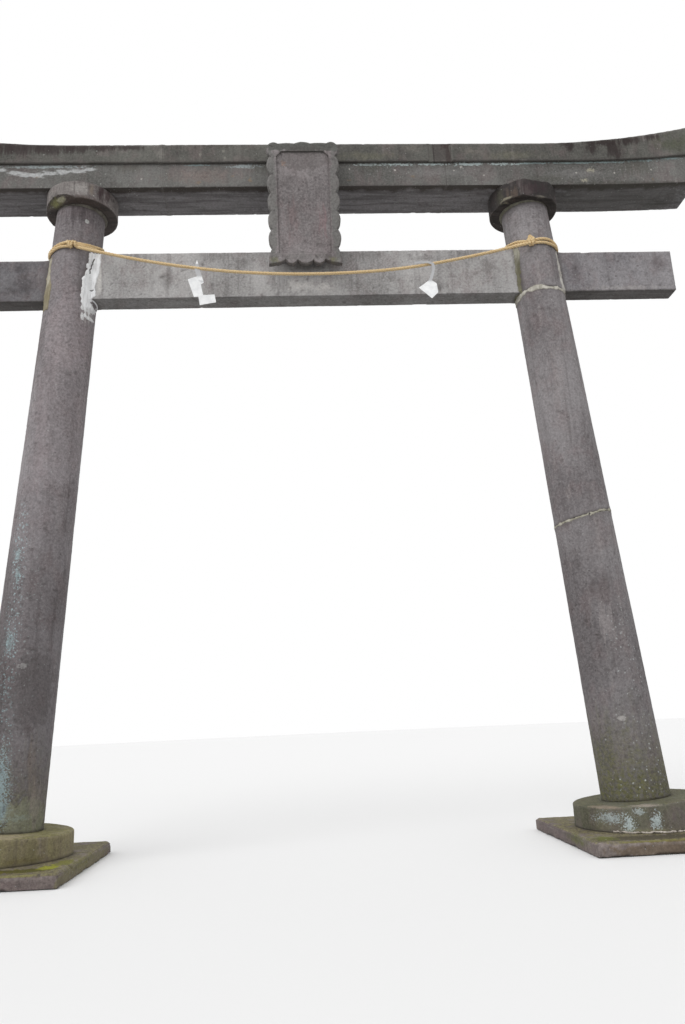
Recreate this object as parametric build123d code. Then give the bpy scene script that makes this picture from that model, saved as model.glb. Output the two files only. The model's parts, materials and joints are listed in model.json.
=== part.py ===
from build123d import *
import math
import os

# Stone torii gate with a plaque, a straw rope and two folded paper streamers.
# Millimetres. X runs across the gate, Y away from the viewer and Z up.
# The origin is on the ground, midway between the two pillars.

# Base stones
plinth_width = 920
plinth_depth = 1140
plinth_height = 76
plinth_bevel = 14
drum_radius = 365
drum_height = 152  # on the pillar's axis
drum_bevel = 12
cut_overrun = 1  # how far a cutting block stands out of the face that it cuts

# Pillars, which taper and lean towards each other
pillar_spacing = 3638  # between the two axes, on top of the drums
pillar_rise = 4083  # from the drum to the underside of the lower lintel
pillar_lean = 269  # how far each axis moves inwards over that rise
pillar_foot_radius = 198
pillar_head_radius = 160
break_rise = 1693  # height above the drum of the mended break in the right pillar
break_tilt = 9  # degrees from square to the pillar
break_bed = 9  # thickness of the mortar in the break
upper_joint_drop = 12  # from the underside of the tie beam to the middle of the joint below it
upper_joint_bed = 12
bed_proud = 1.5  # how far the mortar of both beds stands out of the pillar

# Caps between the pillars and the lower lintel
cap_radius = 238
cap_height = 131
cap_roof = 40
cap_fit = 4  # mortar between the cap and the pillar head
cap_round = 7
collar_height = 10  # mortar collar under the cap
collar_edge = 3
collar_spread = 15
# Broken faces of each cap: degrees round from the front, depth, degrees that it looks downwards
cap_chips = {
    "left": [(-33, 52, 52)],
    "right": [(-68, 14, 4), (-31, 8, 0), (13, 28, 3)],
}

# Tie beam, in three stones
tie_drop = 793  # from the underside of the lower lintel down to that of the tie beam
tie_height = 340
tie_depth = 146
tie_end_height = 305
tie_end_depth = 128
tie_reach = 2550  # from the middle of the gate to each end
tie_core = 60  # from a pillar's axis to the end of each tie stone
tie_mortar = 4  # joint round a tie stone in its socket
bead_width = 22  # mortar bead round each tie stone, on the pillar's face
bead_proud = 7
bead_drop = 6  # how far the bead reaches below a tie stone
smear_proud = 5  # wider smear of mortar on the left pillar
smear_drop = 6  # from the top of the tie beam to the top of that smear
left_end_settle = 24  # how far the left end stone has sunk from the middle line
right_end_settle = 7  # how far the right one has

# Lintels, whose ends sweep up
lower_lintel_depth = 314
lower_lintel_height = 187
lower_lintel_reach = 2780  # to the lower edge of each end
lower_sweep_start = 2100
lower_sweep_radius = 14300
lintel_joint = 980  # from the middle of the gate to the joints of both lintels
top_lintel_lip = 20  # how far it oversails the lower lintel, front and back
top_lintel_height = 142
top_lintel_reach = 2900
seat_sweep_start = 1900
seat_sweep_radius = 7940
top_sweep_start = 1600
top_sweep_radius = 5290
top_lintel_ridge = 38  # how much higher its middle line is than its edges
end_slant = 12  # degrees by which the lintel ends lean outwards
joint_block_width = 160
joint_block_offset = -30  # from the right lintel joint to the middle of the mended notch
joint_block_depth = 60

# Strut and plaque
strut_width = 300
strut_depth = 146
plaque_width = 446  # between the hollows of its scalloped sides
plaque_lobe = 23
plaque_height = 851
plaque_thickness = 120  # over the block behind its panel
plaque_rim = 48  # thickness of its scalloped edge
plaque_foot_flare = 24
plaque_lean = 9.5
plaque_bevel = 9
plaque_foot_drop = 141  # from the top of the tie beam down to the foot of the plaque
plaque_offset = -18
side_lobes = (129, 129, 129, 129, 129, 90)  # widths, from the foot up
bottom_lobes = (79, 106, 79)
bottom_lobe_rise = 26
foot_lobe_rise = 7
flare_rise = 8
top_lobes = (58, 110, 110, 110, 58)
top_lobe_rises = (10, 4, 11, 4, 10)
back_width = 300  # of the block behind the panel, which bears on the beams
back_foot_margin = 64
back_top_margin = 60
panel_width = 350
panel_top_margin = 61
panel_bottom_margin = 76
panel_depth = 12
panel_corner = 34
seat_gap = 0.3

# Rope
rope_radius = 10
wrap_rise = 46  # from the top of the tie beam to the middle of the wraps, on the pillar's axis
wrap_tilt = 17  # degrees from square to the pillar
wrap_low_side = 28  # degrees round from the front, outwards, to where the wraps lie lowest
wrap_gap = 0.6  # between the wraps and the pillar
wrap_turns = 2
wrap_pitch = 24
knot_radius = 21
knot_length = 48
arc_share = 0.45  # of the shorter run beside a corner, taken up by the corner's arc

# Paper streamers
paper_thickness = 2

# Heights and places that follow from the sizes above
drum_top = plinth_height + drum_height
lintel_bottom = drum_top + pillar_rise
tie_bottom = lintel_bottom - tie_drop
tie_top = tie_bottom + tie_height
lintel_seat = lintel_bottom + lower_lintel_height
lintel_top = lintel_seat + top_lintel_height
top_lintel_depth = lower_lintel_depth + 2 * top_lintel_lip
sides = {"left": -1, "right": 1}


def save(name, shape):
    """Write one piece to its own file."""
    export_step(shape, f"parts/{name}.step")


def axis_x(z):
    """Distance of a pillar's axis from the middle of the gate at a height."""
    return pillar_spacing / 2 - pillar_lean * (z - drum_top) / pillar_rise


def pillar_radius(z):
    """Radius of a pillar at a height."""
    taper = (pillar_foot_radius - pillar_head_radius) / pillar_rise
    return pillar_foot_radius - taper * (z - drum_top)


def block(x_low, x_high, y_low, y_high, z_low, z_high):
    """A box between two corners."""
    centre = ((x_low + x_high) / 2, (y_low + y_high) / 2, (z_low + z_high) / 2)
    return Pos(*centre) * Box(abs(x_high - x_low), abs(y_high - y_low), abs(z_high - z_low))


# Base stones
def plinth(side):
    """Square slab on the ground with its upper edges worn to a bevel."""
    slab = Box(plinth_width, plinth_depth, plinth_height, align=(Align.CENTER, Align.CENTER, Align.MIN))
    slab = chamfer(slab.faces().sort_by(Axis.Z)[-1].edges(), plinth_bevel)
    return Pos(side * pillar_spacing / 2, 0, 0) * slab


def drum(side):
    """Round base stone, whose top is dressed square to the leaning pillar."""
    stone = Cylinder(drum_radius, 2 * drum_height, align=(Align.CENTER, Align.CENTER, Align.MIN))
    stone = Pos(side * pillar_spacing / 2, 0, plinth_height) * stone
    stone = split(stone, bisect_by=pillar_foot(side), keep=Keep.BOTTOM)
    return fillet(stone.faces().sort_by(Axis.Z)[-1].edges(), drum_bevel)


# Pillars
def pillar_place(side, z):
    """A place on a pillar's axis at a height, turned so that its Z runs up the axis."""
    lean = math.degrees(math.atan2(pillar_lean, pillar_rise))
    return Pos(side * axis_x(z), 0, z) * Rot(0, -side * lean, 0)


def pillar_foot(side):
    """The plane on which a pillar stands, which falls towards the middle of the gate."""
    return Plane(pillar_place(side, drum_top))


def shaft(side, extra=0.0):
    """The whole tapered shaft from the drum to the roof of its cap."""
    reach = math.hypot(pillar_rise, pillar_lean)
    overrun = pillar_foot_radius
    taper = (pillar_foot_radius - pillar_head_radius) / reach
    cone = Cone(
        pillar_foot_radius + extra + taper * overrun,
        pillar_head_radius + extra - taper * overrun,
        reach + 2 * overrun,
        align=(Align.CENTER, Align.CENTER, Align.MIN),
    )
    cone = pillar_place(side, drum_top) * Pos(0, 0, -overrun) * cone
    cone = split(cone, bisect_by=pillar_foot(side), keep=Keep.TOP)
    span = 2 * pillar_spacing
    return cone & block(-span, span, -span, span, 0, lintel_bottom - cap_roof)


def tie_sockets(side):
    """The two sockets of one pillar, for the middle stone and for an end stone."""
    middle = axis_x(tie_bottom + tie_height / 2)
    reach = 2 * pillar_foot_radius
    inner = block(
        side * (middle - tie_core),
        side * (middle - reach),
        -tie_depth / 2 - tie_mortar,
        tie_depth / 2 + tie_mortar,
        tie_bottom,
        tie_top + tie_mortar,
    )
    low = tie_end_bottom(side)
    outer = block(
        side * (middle + tie_core),
        side * (middle + reach),
        -tie_end_depth / 2 - tie_mortar,
        tie_end_depth / 2 + tie_mortar,
        low,
        low + tie_end_height + tie_mortar,
    )
    return inner + outer


def break_plane(offset):
    """A plane beside the mended break in the right pillar, which rises outwards."""
    return Plane(pillar_place(1, drum_top + break_rise + offset) * Rot(0, -break_tilt, 0))


def upper_joint_plane(offset):
    """A level plane beside the joint under the tie beam."""
    return Plane((0, 0, tie_bottom - upper_joint_drop + offset))


def between(stone, low, high):
    """The part of a stone that lies between two planes."""
    return split(split(stone, bisect_by=low, keep=Keep.TOP), bisect_by=high, keep=Keep.BOTTOM)


def pillar(side):
    """A pillar with its two sockets, before any joint is cut."""
    return shaft(side) - tie_sockets(side)


def right_pillar():
    """The right pillar's three stones and the two beds of mortar between them."""
    whole = pillar(1)
    mortar = shaft(1, bed_proud)
    lower_cut, middle_foot = break_plane(-break_bed / 2), break_plane(break_bed / 2)
    middle_cut, upper_foot = upper_joint_plane(-upper_joint_bed / 2), upper_joint_plane(upper_joint_bed / 2)
    return {
        "pillar_right_lower": split(whole, bisect_by=lower_cut, keep=Keep.BOTTOM),
        "mortar_break": between(mortar, lower_cut, middle_foot),
        "pillar_right_middle": between(whole, middle_foot, middle_cut),
        "mortar_upper_joint": between(mortar, middle_cut, upper_foot),
        "pillar_right_upper": split(whole, bisect_by=upper_foot, keep=Keep.TOP),
    }


def cap(name, side):
    """Round cap with a socket in its underside, and with the faces where its rim has broken away."""
    stone = Cylinder(cap_radius, cap_height, align=(Align.CENTER, Align.CENTER, Align.MAX))
    stone = fillet(stone.edges().filter_by(GeomType.CIRCLE), cap_round)
    for turn, depth, downwards in cap_chips[name]:
        face = Rot(0, 0, turn) * Pos(0, depth - cap_radius, -cap_height) * Rot(90 + downwards, 0, 0)
        stone = split(stone, bisect_by=Plane(face), keep=Keep.BOTTOM)
    stone = Pos(side * axis_x(lintel_bottom), 0, lintel_bottom) * stone
    return stone - shaft(side, cap_fit)


def cap_mortar(side):
    """Mortar that beds a pillar's head in its cap, with a collar that spreads under the cap."""
    span = 2 * pillar_spacing
    underside = lintel_bottom - cap_height
    low = underside - collar_height
    foot = pillar_radius(low)
    on_foot = (Align.CENTER, Align.CENTER, Align.MIN)
    flare = Cone(foot + collar_edge, foot + collar_spread, 2 * collar_height, align=on_foot)
    collar = pillar_place(side, low) * flare & block(-span, span, -span, span, low - span, underside)
    bed = shaft(side, cap_fit) & block(-span, span, -span, span, underside, lintel_bottom)
    return collar + bed - shaft(side)


# Tie beam
def tie_end_bottom(side):
    """Underside of an end stone, which is centred on the middle stone but for its settling."""
    centred = tie_bottom + (tie_height - tie_end_height) / 2
    return centred - (left_end_settle if side < 0 else right_end_settle)


def tie_middle():
    """The stone between the pillars."""
    end = axis_x(tie_bottom + tie_height / 2) - tie_core
    return block(-end, end, -tie_depth / 2, tie_depth / 2, tie_bottom, tie_top)


def tie_end(side):
    """The shallower stone outside a pillar."""
    start = axis_x(tie_bottom + tie_height / 2) + tie_core
    low = tie_end_bottom(side)
    half = tie_end_depth / 2
    return block(side * start, side * tie_reach, -half, half, low, low + tie_end_height)


def tie_bead(side, stone):
    """Mortar round a tie stone, in its socket and as a bead on the pillar's face."""
    box = stone.bounding_box()
    middle = side * axis_x(tie_bottom + tie_height / 2)
    outer = box.center().X
    wide = block(
        middle,
        outer,
        box.min.Y - bead_width,
        box.max.Y + bead_width,
        box.min.Z - bead_drop,
        box.max.Z + tie_mortar,
    )
    return (wide & shaft(side, bead_proud)) - pillar(side) - stone


def tie_smear():
    """Smear of mortar on the front of the left pillar, beside the middle stone."""
    axis = -axis_x(tie_bottom + tie_height / 2)
    edge = make_face(Polyline(*smear_outline, close=True))
    front = extrude(Plane((axis, 0, 0), x_dir=(1, 0, 0), z_dir=(0, -1, 0)) * edge, pillar_foot_radius * 2)
    return (front & shaft(-1, smear_proud)) - pillar(-1) - tie_middle()


# The smear's outline seen from the front, as distances from the pillar's axis and heights, from its upper end down
smear_outline = [
    (129, tie_top - smear_drop),
    (118, tie_top - 104),
    (110, tie_top - 170),
    (94, tie_top - 228),
    (88, tie_top - 290),
    (95, tie_bottom - 54),
    (125, tie_bottom - 62),
    (151, tie_bottom - 30),
    (211, tie_bottom),
    (211, tie_top - smear_drop),
]


# Lintels
def sweep_rise(x, x_start, radius):
    """How far an edge that starts to sweep up at x_start has climbed at x."""
    return radius - math.sqrt(radius**2 - max(0, x - x_start) ** 2)


def swept_edge(x_start, x_end, z, radius):
    """A line that runs level to x_start and then climbs along a tangent arc to x_end."""
    level = Line((0, z), (x_start, z))
    arc = TangentArc((x_start, z), (x_end, z + sweep_rise(x_end, x_start, radius)), tangent=(1, 0))
    return level, arc


def lintel_face(y, reach, bottom, top):
    """Half of a lintel's front outline, on a plane at y."""
    bottom_line, bottom_arc = swept_edge(bottom[0], reach, bottom[1], bottom[2])
    top_line, top_arc = swept_edge(top[0], reach, top[1], top[2])
    centre = Line(bottom_line @ 0, top_line @ 0)
    end = Line(bottom_arc @ 1, top_arc @ 1)
    lines = [bottom_line, bottom_arc, end, top_arc, top_line, centre]
    outline = Wire([line.edge() for line in lines])
    return Plane((0, y, 0), x_dir=(1, 0, 0), z_dir=(0, -1, 0)) * Face(outline)


def end_cut(reach, z):
    """Plane of a lintel's right end, leaning outwards from its lower edge."""
    return Plane(Pos(reach, 0, z) * Rot(0, 90 + end_slant, 0))


def swept_lintel(depth, reach, bottom, top, ridge):
    """A whole lintel, made as one quarter that is mirrored back and across."""
    overrun = reach + depth
    outer = lintel_face(-depth / 2, overrun, bottom, top)
    inner = lintel_face(0, overrun, bottom, (top[0], top[1] + ridge, top[2]))
    quarter = loft([outer, inner], ruled=True)
    end = end_cut(reach, bottom[1] + sweep_rise(reach, bottom[0], bottom[2]))
    quarter = split(quarter, bisect_by=end, keep=Keep.BOTTOM)
    half = quarter + mirror(quarter, Plane.XZ)
    return half + mirror(half, Plane.YZ)


def lower_lintel():
    """The whole lower lintel, before it is cut into stones."""
    bottom = (lower_sweep_start, lintel_bottom, lower_sweep_radius)
    seat = (seat_sweep_start, lintel_seat, seat_sweep_radius)
    return swept_lintel(lower_lintel_depth, lower_lintel_reach, bottom, seat, 0)


def top_lintel():
    """The whole top lintel, whose upper side falls away from a ridge along its middle."""
    seat = (seat_sweep_start, lintel_seat, seat_sweep_radius)
    top = (top_sweep_start, lintel_top, top_sweep_radius)
    return swept_lintel(top_lintel_depth, top_lintel_reach, seat, top, top_lintel_ridge)


def three_stones(beam):
    """Cut a beam at its two joints into left, middle and right stones."""
    left_joint = Plane((-lintel_joint, 0, 0), z_dir=(1, 0, 0))
    right_joint = Plane((lintel_joint, 0, 0), z_dir=(1, 0, 0))
    left = split(beam, bisect_by=left_joint, keep=Keep.BOTTOM)
    rest = split(beam, bisect_by=left_joint, keep=Keep.TOP)
    middle = split(rest, bisect_by=right_joint, keep=Keep.BOTTOM)
    right = split(rest, bisect_by=right_joint, keep=Keep.TOP)
    return {"left": left, "middle": middle, "right": right}


def joint_notch():
    """The broken lip at the right joint of the top lintel, down its front face."""
    middle = lintel_joint + joint_block_offset
    front = -top_lintel_depth / 2
    back = -lower_lintel_depth / 2 + joint_block_depth
    half = joint_block_width / 2
    tall = 2 * top_lintel_height
    return block(middle - half, middle + half, front - cut_overrun, back, lintel_seat, lintel_seat + tall)


def joint_block(beam):
    """The mortar block that fills the notch, flush with the lower lintel."""
    middle = lintel_joint + joint_block_offset
    half = joint_block_width / 2
    front = -lower_lintel_depth / 2
    back = front + joint_block_depth
    tall = 2 * top_lintel_height
    return beam & block(middle - half, middle + half, front, back, lintel_seat, lintel_seat + tall)


# Strut and plaque
def strut():
    """Short upright between the tie beam and the lower lintel."""
    half = strut_width / 2
    return block(-half, half, -strut_depth / 2, strut_depth / 2, tie_top, lintel_bottom)


def bulge(start, end, rise):
    """An arc between two points that bulges to the right of the way it runs."""
    (x0, y0), (x1, y1) = start, end
    length = math.hypot(x1 - x0, y1 - y0)
    middle = ((x0 + x1) / 2 + rise * (y1 - y0) / length, (y0 + y1) / 2 - rise * (x1 - x0) / length)
    return ThreePointArc(start, middle, end)


def lobed_run(start, end, widths, rises):
    """Arcs that bulge outwards one after another along a straight run."""
    total = sum(widths)
    edges = []
    done = 0
    here = start
    for width, rise in zip(widths, rises):
        done += width
        share = done / total
        there = (start[0] + (end[0] - start[0]) * share, start[1] + (end[1] - start[1]) * share)
        edges.append(bulge(here, there, rise))
        here = there
    return edges


def plaque_outline(inset):
    """Scalloped outline, drawn in by an inset, with the foot's middle at the origin."""
    half = plaque_width / 2 - inset
    high = plaque_height - inset
    foot = half + plaque_foot_flare
    lobes_half = sum(bottom_lobes) / 2
    foot_height = plaque_height - sum(side_lobes)
    hollow = bottom_lobe_rise + inset
    side_rises = [plaque_lobe] * len(side_lobes)
    bottom_rises = [bottom_lobe_rise] * len(bottom_lobes)
    right_side = lobed_run((half, foot_height), (half, high), side_lobes, side_rises)
    left_side = lobed_run((-half, high), (-half, foot_height), side_lobes[::-1], side_rises)
    top = lobed_run((half, high), (-half, high), top_lobes, top_lobe_rises)
    bottom = lobed_run((-lobes_half, hollow), (lobes_half, hollow), bottom_lobes, bottom_rises)
    feet = [
        bulge((lobes_half, hollow), (foot, inset), foot_lobe_rise),
        bulge((foot, inset), (half, foot_height), flare_rise),
        bulge((-half, foot_height), (-foot, inset), flare_rise),
        bulge((-foot, inset), (-lobes_half, hollow), foot_lobe_rise),
    ]
    edges = bottom + [feet[0], feet[1]] + right_side + top + left_side + [feet[2], feet[3]]
    return Face(Wire([edge.edge() for edge in edges]))


def panel_outline():
    """Recess with its two upper corners cut off."""
    half = panel_width / 2
    high = plaque_height - panel_top_margin
    shoulder = high - panel_corner
    points = [(-half, panel_bottom_margin), (half, panel_bottom_margin), (half, shoulder)]
    points += [(half - panel_corner, high), (panel_corner - half, high), (-half, shoulder)]
    return make_face(Polyline(*points, close=True))


def plaque():
    """Scalloped plaque with a sunk panel, leaning forwards from the tie beam to the lintel."""
    back = plaque_thickness - plaque_rim
    edge = plaque_thickness - plaque_bevel
    rim = Pos(0, 0, edge) * plaque_outline(0)
    front = Pos(0, 0, plaque_thickness) * plaque_outline(plaque_bevel)
    half = back_width / 2
    slab = Pos(0, 0, back) * extrude(plaque_outline(0), edge - back) + loft([rim, front], ruled=True)
    slab = slab + block(-half, half, back_foot_margin, plaque_height - back_top_margin, 0, back)
    slab = slab - Pos(0, 0, plaque_thickness - panel_depth) * extrude(panel_outline(), panel_depth)
    slope = math.tan(math.radians(plaque_lean))
    foot_z = tie_top - plaque_foot_drop
    back_y = -lower_lintel_depth / 2 - seat_gap + slope * (lintel_bottom - foot_z)
    upright = Plane((plaque_offset, back_y, foot_z), x_dir=(1, 0, 0), z_dir=(0, -1, 0))
    slab = upright * Rot(plaque_lean, 0, 0) * slab
    span = 2 * plaque_height
    tie_side = block(-span, span, -tie_depth / 2, span, foot_z - span, tie_top)
    return slab - tie_side


# Rope
# The rope hangs through these points, from the left knot to the right one
rope_points = [
    (-1516, -190, 3834),
    (-1345, -188, 3789),
    (-1130, -186, 3739),
    (-880, -186, 3690),
    (-600, -187, 3648),
    (-330, -188, 3624),
    (-60, -189, 3612),
    (200, -189, 3615),
    (440, -188, 3628),
    (665, -188, 3650),
    (915, -187, 3694),
    (1145, -187, 3741),
    (1350, -189, 3788),
    (1516, -190, 3829),
]


def rope_radii():
    """Radius of each corner's arc, from the shorter of its two runs and its turn."""
    points = [Vector(*point) for point in rope_points]
    radii = []
    for before, here, after in zip(points, points[1:], points[2:]):
        shorter = min((here - before).length, (after - here).length)
        turn = math.radians((here - before).get_angle(after - here))
        radii.append(arc_share * shorter / math.tan(turn / 2))
    return radii


def rope_span():
    """The rope that hangs between the two knots."""
    radii = rope_radii()
    print("rope arc radii", [round(radius) for radius in radii])
    path = FilletPolyline(*rope_points, radius=radii)
    start = Plane(path @ 0, z_dir=path % 0)
    tube = sweep(start * Circle(rope_radius), path)
    plain_volume = math.pi * rope_radius**2 * path.length
    print("rope length", round(path.length, 1), "volume ratio", tube.volume / plain_volume)
    return tube


def knot(end, along):
    """Barrel-shaped knot that starts flat where the rope ends and swells away from it."""
    half = knot_length / 2
    profile = [
        Line((0, 0), (rope_radius, 0)).edge(),
        ThreePointArc((rope_radius, 0), (knot_radius, half), (rope_radius, knot_length)).edge(),
        Line((rope_radius, knot_length), (0, knot_length)).edge(),
        Line((0, knot_length), (0, 0)).edge(),
    ]
    barrel = revolve(Plane.XZ * Face(Wire(profile)), Axis.Z)
    return Plane(end, z_dir=along) * barrel


def oval(across, along):
    """A closed oval of four tangent arcs, with its longer half-width along Y."""
    shift = (along - across) / (2 - math.sqrt(2))
    wide = across + shift
    tight = along - shift
    return Wire([
        CenterArc((-shift, 0), wide, -45, 90).edge(),
        CenterArc((0, shift), tight, 45, 90).edge(),
        CenterArc((shift, 0), wide, 135, 90).edge(),
        CenterArc((0, -shift), tight, 225, 90).edge(),
    ])


def wrap_turn(side, z):
    """One turn of rope round a pillar, aslant to its axis."""
    reach = pillar_radius(z) + rope_radius + wrap_gap
    place = Plane(pillar_place(side, z) * Rot(0, 0, side * wrap_low_side) * Rot(wrap_tilt, 0, 0))
    ring = place * oval(reach, reach / math.cos(math.radians(wrap_tilt)))
    return sweep(Plane(ring @ 0, z_dir=ring % 0) * Circle(rope_radius), ring)


def rope_wrap(side):
    """Turns of rope round a pillar, with the knot that holds them."""
    z = tie_top + wrap_rise
    lifts = [wrap_pitch * (index - (wrap_turns - 1) / 2) for index in range(wrap_turns)]
    turns = [wrap_turn(side, z + lift) for lift in lifts]
    points = [Vector(*point) for point in (rope_points if side > 0 else rope_points[::-1])]
    return sum(turns[1:], turns[0]) + knot(points[-1], points[-1] - points[-2])


# Paper streamers, each a strip folded back and forth
def rope_underside(x):
    """Height just under the rope, on the straight part of a run."""
    for (x0, _, z0), (x1, _, z1) in zip(rope_points, rope_points[1:]):
        if x0 <= x <= x1:
            slope = (z1 - z0) / (x1 - x0)
            return z0 + slope * (x - x0) - rope_radius * math.hypot(1, slope) - seat_gap


def streamer(top_edge, layers):
    """Panels of paper, given as outlines seen from the front, each one layer behind the last."""
    top = [(x, rope_underside(x)) for x in top_edge]
    panels = []
    for index, outline in enumerate([top + layers[0]] + layers[1:]):
        y = streamer_y + index * paper_thickness
        plane = Plane((0, y, 0), x_dir=(1, 0, 0), z_dir=(0, -1, 0))
        panels.append(extrude(plane * make_face(Polyline(*outline, close=True)), -paper_thickness))
    return sum(panels[1:], panels[0])


# The top panel of each streamer starts under the rope, and its other points follow here
streamer_y = -188
left_streamer_top = (-772, -712)
right_streamer_top = (765, 818)
left_streamer = [
    [(-690, 3560), (-745, 3585)],
    [(-795, 3575), (-717, 3612), (-690, 3562), (-716, 3545), (-696, 3452), (-750, 3446)],
    [(-726, 3458), (-620, 3468), (-612, 3410), (-716, 3388)],
]
right_streamer = [
    [(817, 3580), (798, 3540), (768, 3530)],
    [(726, 3485), (805, 3552), (843, 3526), (852, 3450), (804, 3405)],
]


def build():
    """Make every piece and write it out."""
    os.makedirs("parts", exist_ok=True)
    for name, side in sides.items():
        save(f"plinth_{name}", plinth(side))
        save(f"drum_{name}", drum(side))
        save(f"cap_{name}", cap(name, side))
        save(f"mortar_cap_{name}", cap_mortar(side))
        save(f"tie_end_{name}", tie_end(side))
        save(f"mortar_tie_{name}_outer", tie_bead(side, tie_end(side)))
        save(f"rope_wrap_{name}", rope_wrap(side))
    save("pillar_left", pillar(-1))
    for name, stone in right_pillar().items():
        save(name, stone)
    save("tie_middle", tie_middle())
    save("mortar_tie_left_inner", tie_bead(-1, tie_middle()) + tie_smear())
    save("mortar_tie_right_inner", tie_bead(1, tie_middle()))
    for name, stone in three_stones(lower_lintel()).items():
        save(f"lower_lintel_{name}", stone)
    whole = top_lintel()
    for name, stone in three_stones(whole - joint_notch()).items():
        save(f"top_lintel_{name}", stone)
    save("lintel_joint_block", joint_block(whole))
    save("strut", strut())
    save("plaque", plaque())
    save("rope_span", rope_span())
    save("streamer_left", streamer(left_streamer_top, left_streamer))
    save("streamer_right", streamer(right_streamer_top, right_streamer))


build()
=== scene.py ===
import json
import math
import random
import bmesh
import bpy
import numpy as np
from mathutils import Matrix, Vector, noise
from mathutils.bvhtree import BVHTree
from mathutils.kdtree import KDTree


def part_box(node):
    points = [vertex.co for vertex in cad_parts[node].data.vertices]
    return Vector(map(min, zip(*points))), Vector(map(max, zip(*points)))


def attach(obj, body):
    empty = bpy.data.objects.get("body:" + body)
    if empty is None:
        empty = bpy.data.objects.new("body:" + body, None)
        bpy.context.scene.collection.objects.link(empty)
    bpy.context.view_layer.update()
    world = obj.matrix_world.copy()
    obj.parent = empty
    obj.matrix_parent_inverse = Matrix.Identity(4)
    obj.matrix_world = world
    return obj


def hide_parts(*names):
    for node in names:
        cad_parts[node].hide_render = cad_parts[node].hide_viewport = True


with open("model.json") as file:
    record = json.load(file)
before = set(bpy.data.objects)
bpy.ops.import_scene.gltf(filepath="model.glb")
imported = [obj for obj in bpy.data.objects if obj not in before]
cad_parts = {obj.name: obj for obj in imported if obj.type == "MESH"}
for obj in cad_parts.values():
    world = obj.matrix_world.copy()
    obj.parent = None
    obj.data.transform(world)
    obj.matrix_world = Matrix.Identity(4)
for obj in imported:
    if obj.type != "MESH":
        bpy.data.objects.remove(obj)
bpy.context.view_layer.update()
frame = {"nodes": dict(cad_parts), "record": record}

# Stone torii gate with its plaque, straw rope and paper streamers. Metres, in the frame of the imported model.

studio = {
    "eye": (-0.1232, -4.8614, 0.7461),
    "yaw": 3.352,  # degrees to the right of +Y
    "pitch": 14.696,
    "roll": -2.603,
    "focalPixels": 790.6,
    "framePixels": 1024,  # height of the photograph's frame
    "sensor": 36,
    "floorRadius": 45,
    "floorSeen": 0.8,
    "floorLit": 0.42,  # darker where it only throws light back
    "skyStrength": 0.93,
    "sunStrength": 1.15,
    "sunAngle": 50,
    "sunTurn": (52, 0, -38),
}


# Shader maths

def hexColour(code):
    # sRGB hex to the linear colour that a socket takes
    channels = [int(code[i:i + 2], 16) / 255 for i in (0, 2, 4)]
    return (*[c / 12.92 if c <= 0.04045 else ((c + 0.055) / 1.055) ** 2.4 for c in channels], 1)


class Wire:
    # one output socket; sums and products of wires add Math nodes
    def __init__(self, board, socket):
        self.board = board
        self.socket = socket

    def maths(self, operation, first, second):
        return self.board.node("Math", {"operation": operation}, {0: first, 1: second})

    def __add__(self, other):
        return self.maths("ADD", self, other)

    def __sub__(self, other):
        return self.maths("SUBTRACT", self, other)

    def __rsub__(self, other):
        return self.maths("SUBTRACT", other, self)

    def __mul__(self, other):
        return self.maths("MULTIPLY", self, other)

    def most(self, other):
        return self.maths("MAXIMUM", self, other)

    __radd__ = __add__
    __rmul__ = __mul__


class Board:
    # the node tree of a material or a world
    def __init__(self, owner):
        owner.use_nodes = True
        self.tree = owner.node_tree
        self.tree.nodes.clear()

    def node(self, kind, settings, sockets, out=0):
        # wires are linked, and other values go onto the sockets, where text is a colour in hex
        made = self.tree.nodes.new("ShaderNode" + kind)
        for key, setting in settings.items():
            setattr(made, key, setting)
        for slot, value in sockets.items():
            if isinstance(value, Wire):
                self.tree.links.new(value.socket, made.inputs[slot])
            else:
                made.inputs[slot].default_value = hexColour(value) if isinstance(value, str) else value
        return Wire(self, made.outputs[out]) if len(made.outputs) else made

    def rise(self, value, low, high, start=0.0, end=1.0):
        settings = {"interpolation_type": "SMOOTHSTEP"}
        return self.node("MapRange", settings, {0: value, 1: low, 2: high, 3: start, 4: end})

    def seen(self):
        # 1 for what the picture shows, itself or mirrored, and 0 for what only gives light
        rays = self.node("LightPath", {}, {}).socket.node.outputs
        camera = Wire(self, rays["Is Camera Ray"])
        return camera.most(Wire(self, rays["Is Glossy Ray"])).most(Wire(self, rays["Is Transmission Ray"]))


# How the edge of each kind of stain runs: noise scale, stretch, raggedness, softness
stainEdges = {
    "cloud": {"scale": 26, "stretch": (1, 1, 0.8), "ragged": 2.0, "soft": 0.0},
    "coat": {"scale": 30, "stretch": (1, 1, 1), "ragged": 1.6, "soft": 0.75},
    "drip": {"scale": 1, "stretch": (60, 60, 4), "ragged": 3.4, "soft": 0.1},
    "crust": {"scale": 75, "stretch": (0.8, 1, 1.2), "ragged": 4.6, "soft": 0.5},
    "vein": {"scale": 30, "stretch": (0.6, 1, 1.6), "ragged": 2.0, "soft": 0.5},
    "flecks": {"scale": 105, "stretch": (1, 1, 1), "ragged": 5.5, "soft": 0.5},
    "run": {"scale": 1, "stretch": (34, 34, 9), "ragged": 2.2, "soft": 0.35},
    "speck": {"scale": 90, "stretch": (1, 1, 1), "ragged": 1.4, "soft": 0.8},
}
# Lichen spots in two sizes: cells a metre, size in a cell, share of the cells
spotKinds = {
    "dots": ((55, 0.34, 0.30), (24, 0.22, 0.16)),
    "dust": ((78, 0.46, 0.42), (42, 0.40, 0.32)),
}
spotWave = {"scale": 130, "reach": (0.011, 0.011, 0.011)}  # how far it bends the outline of a spot


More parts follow.
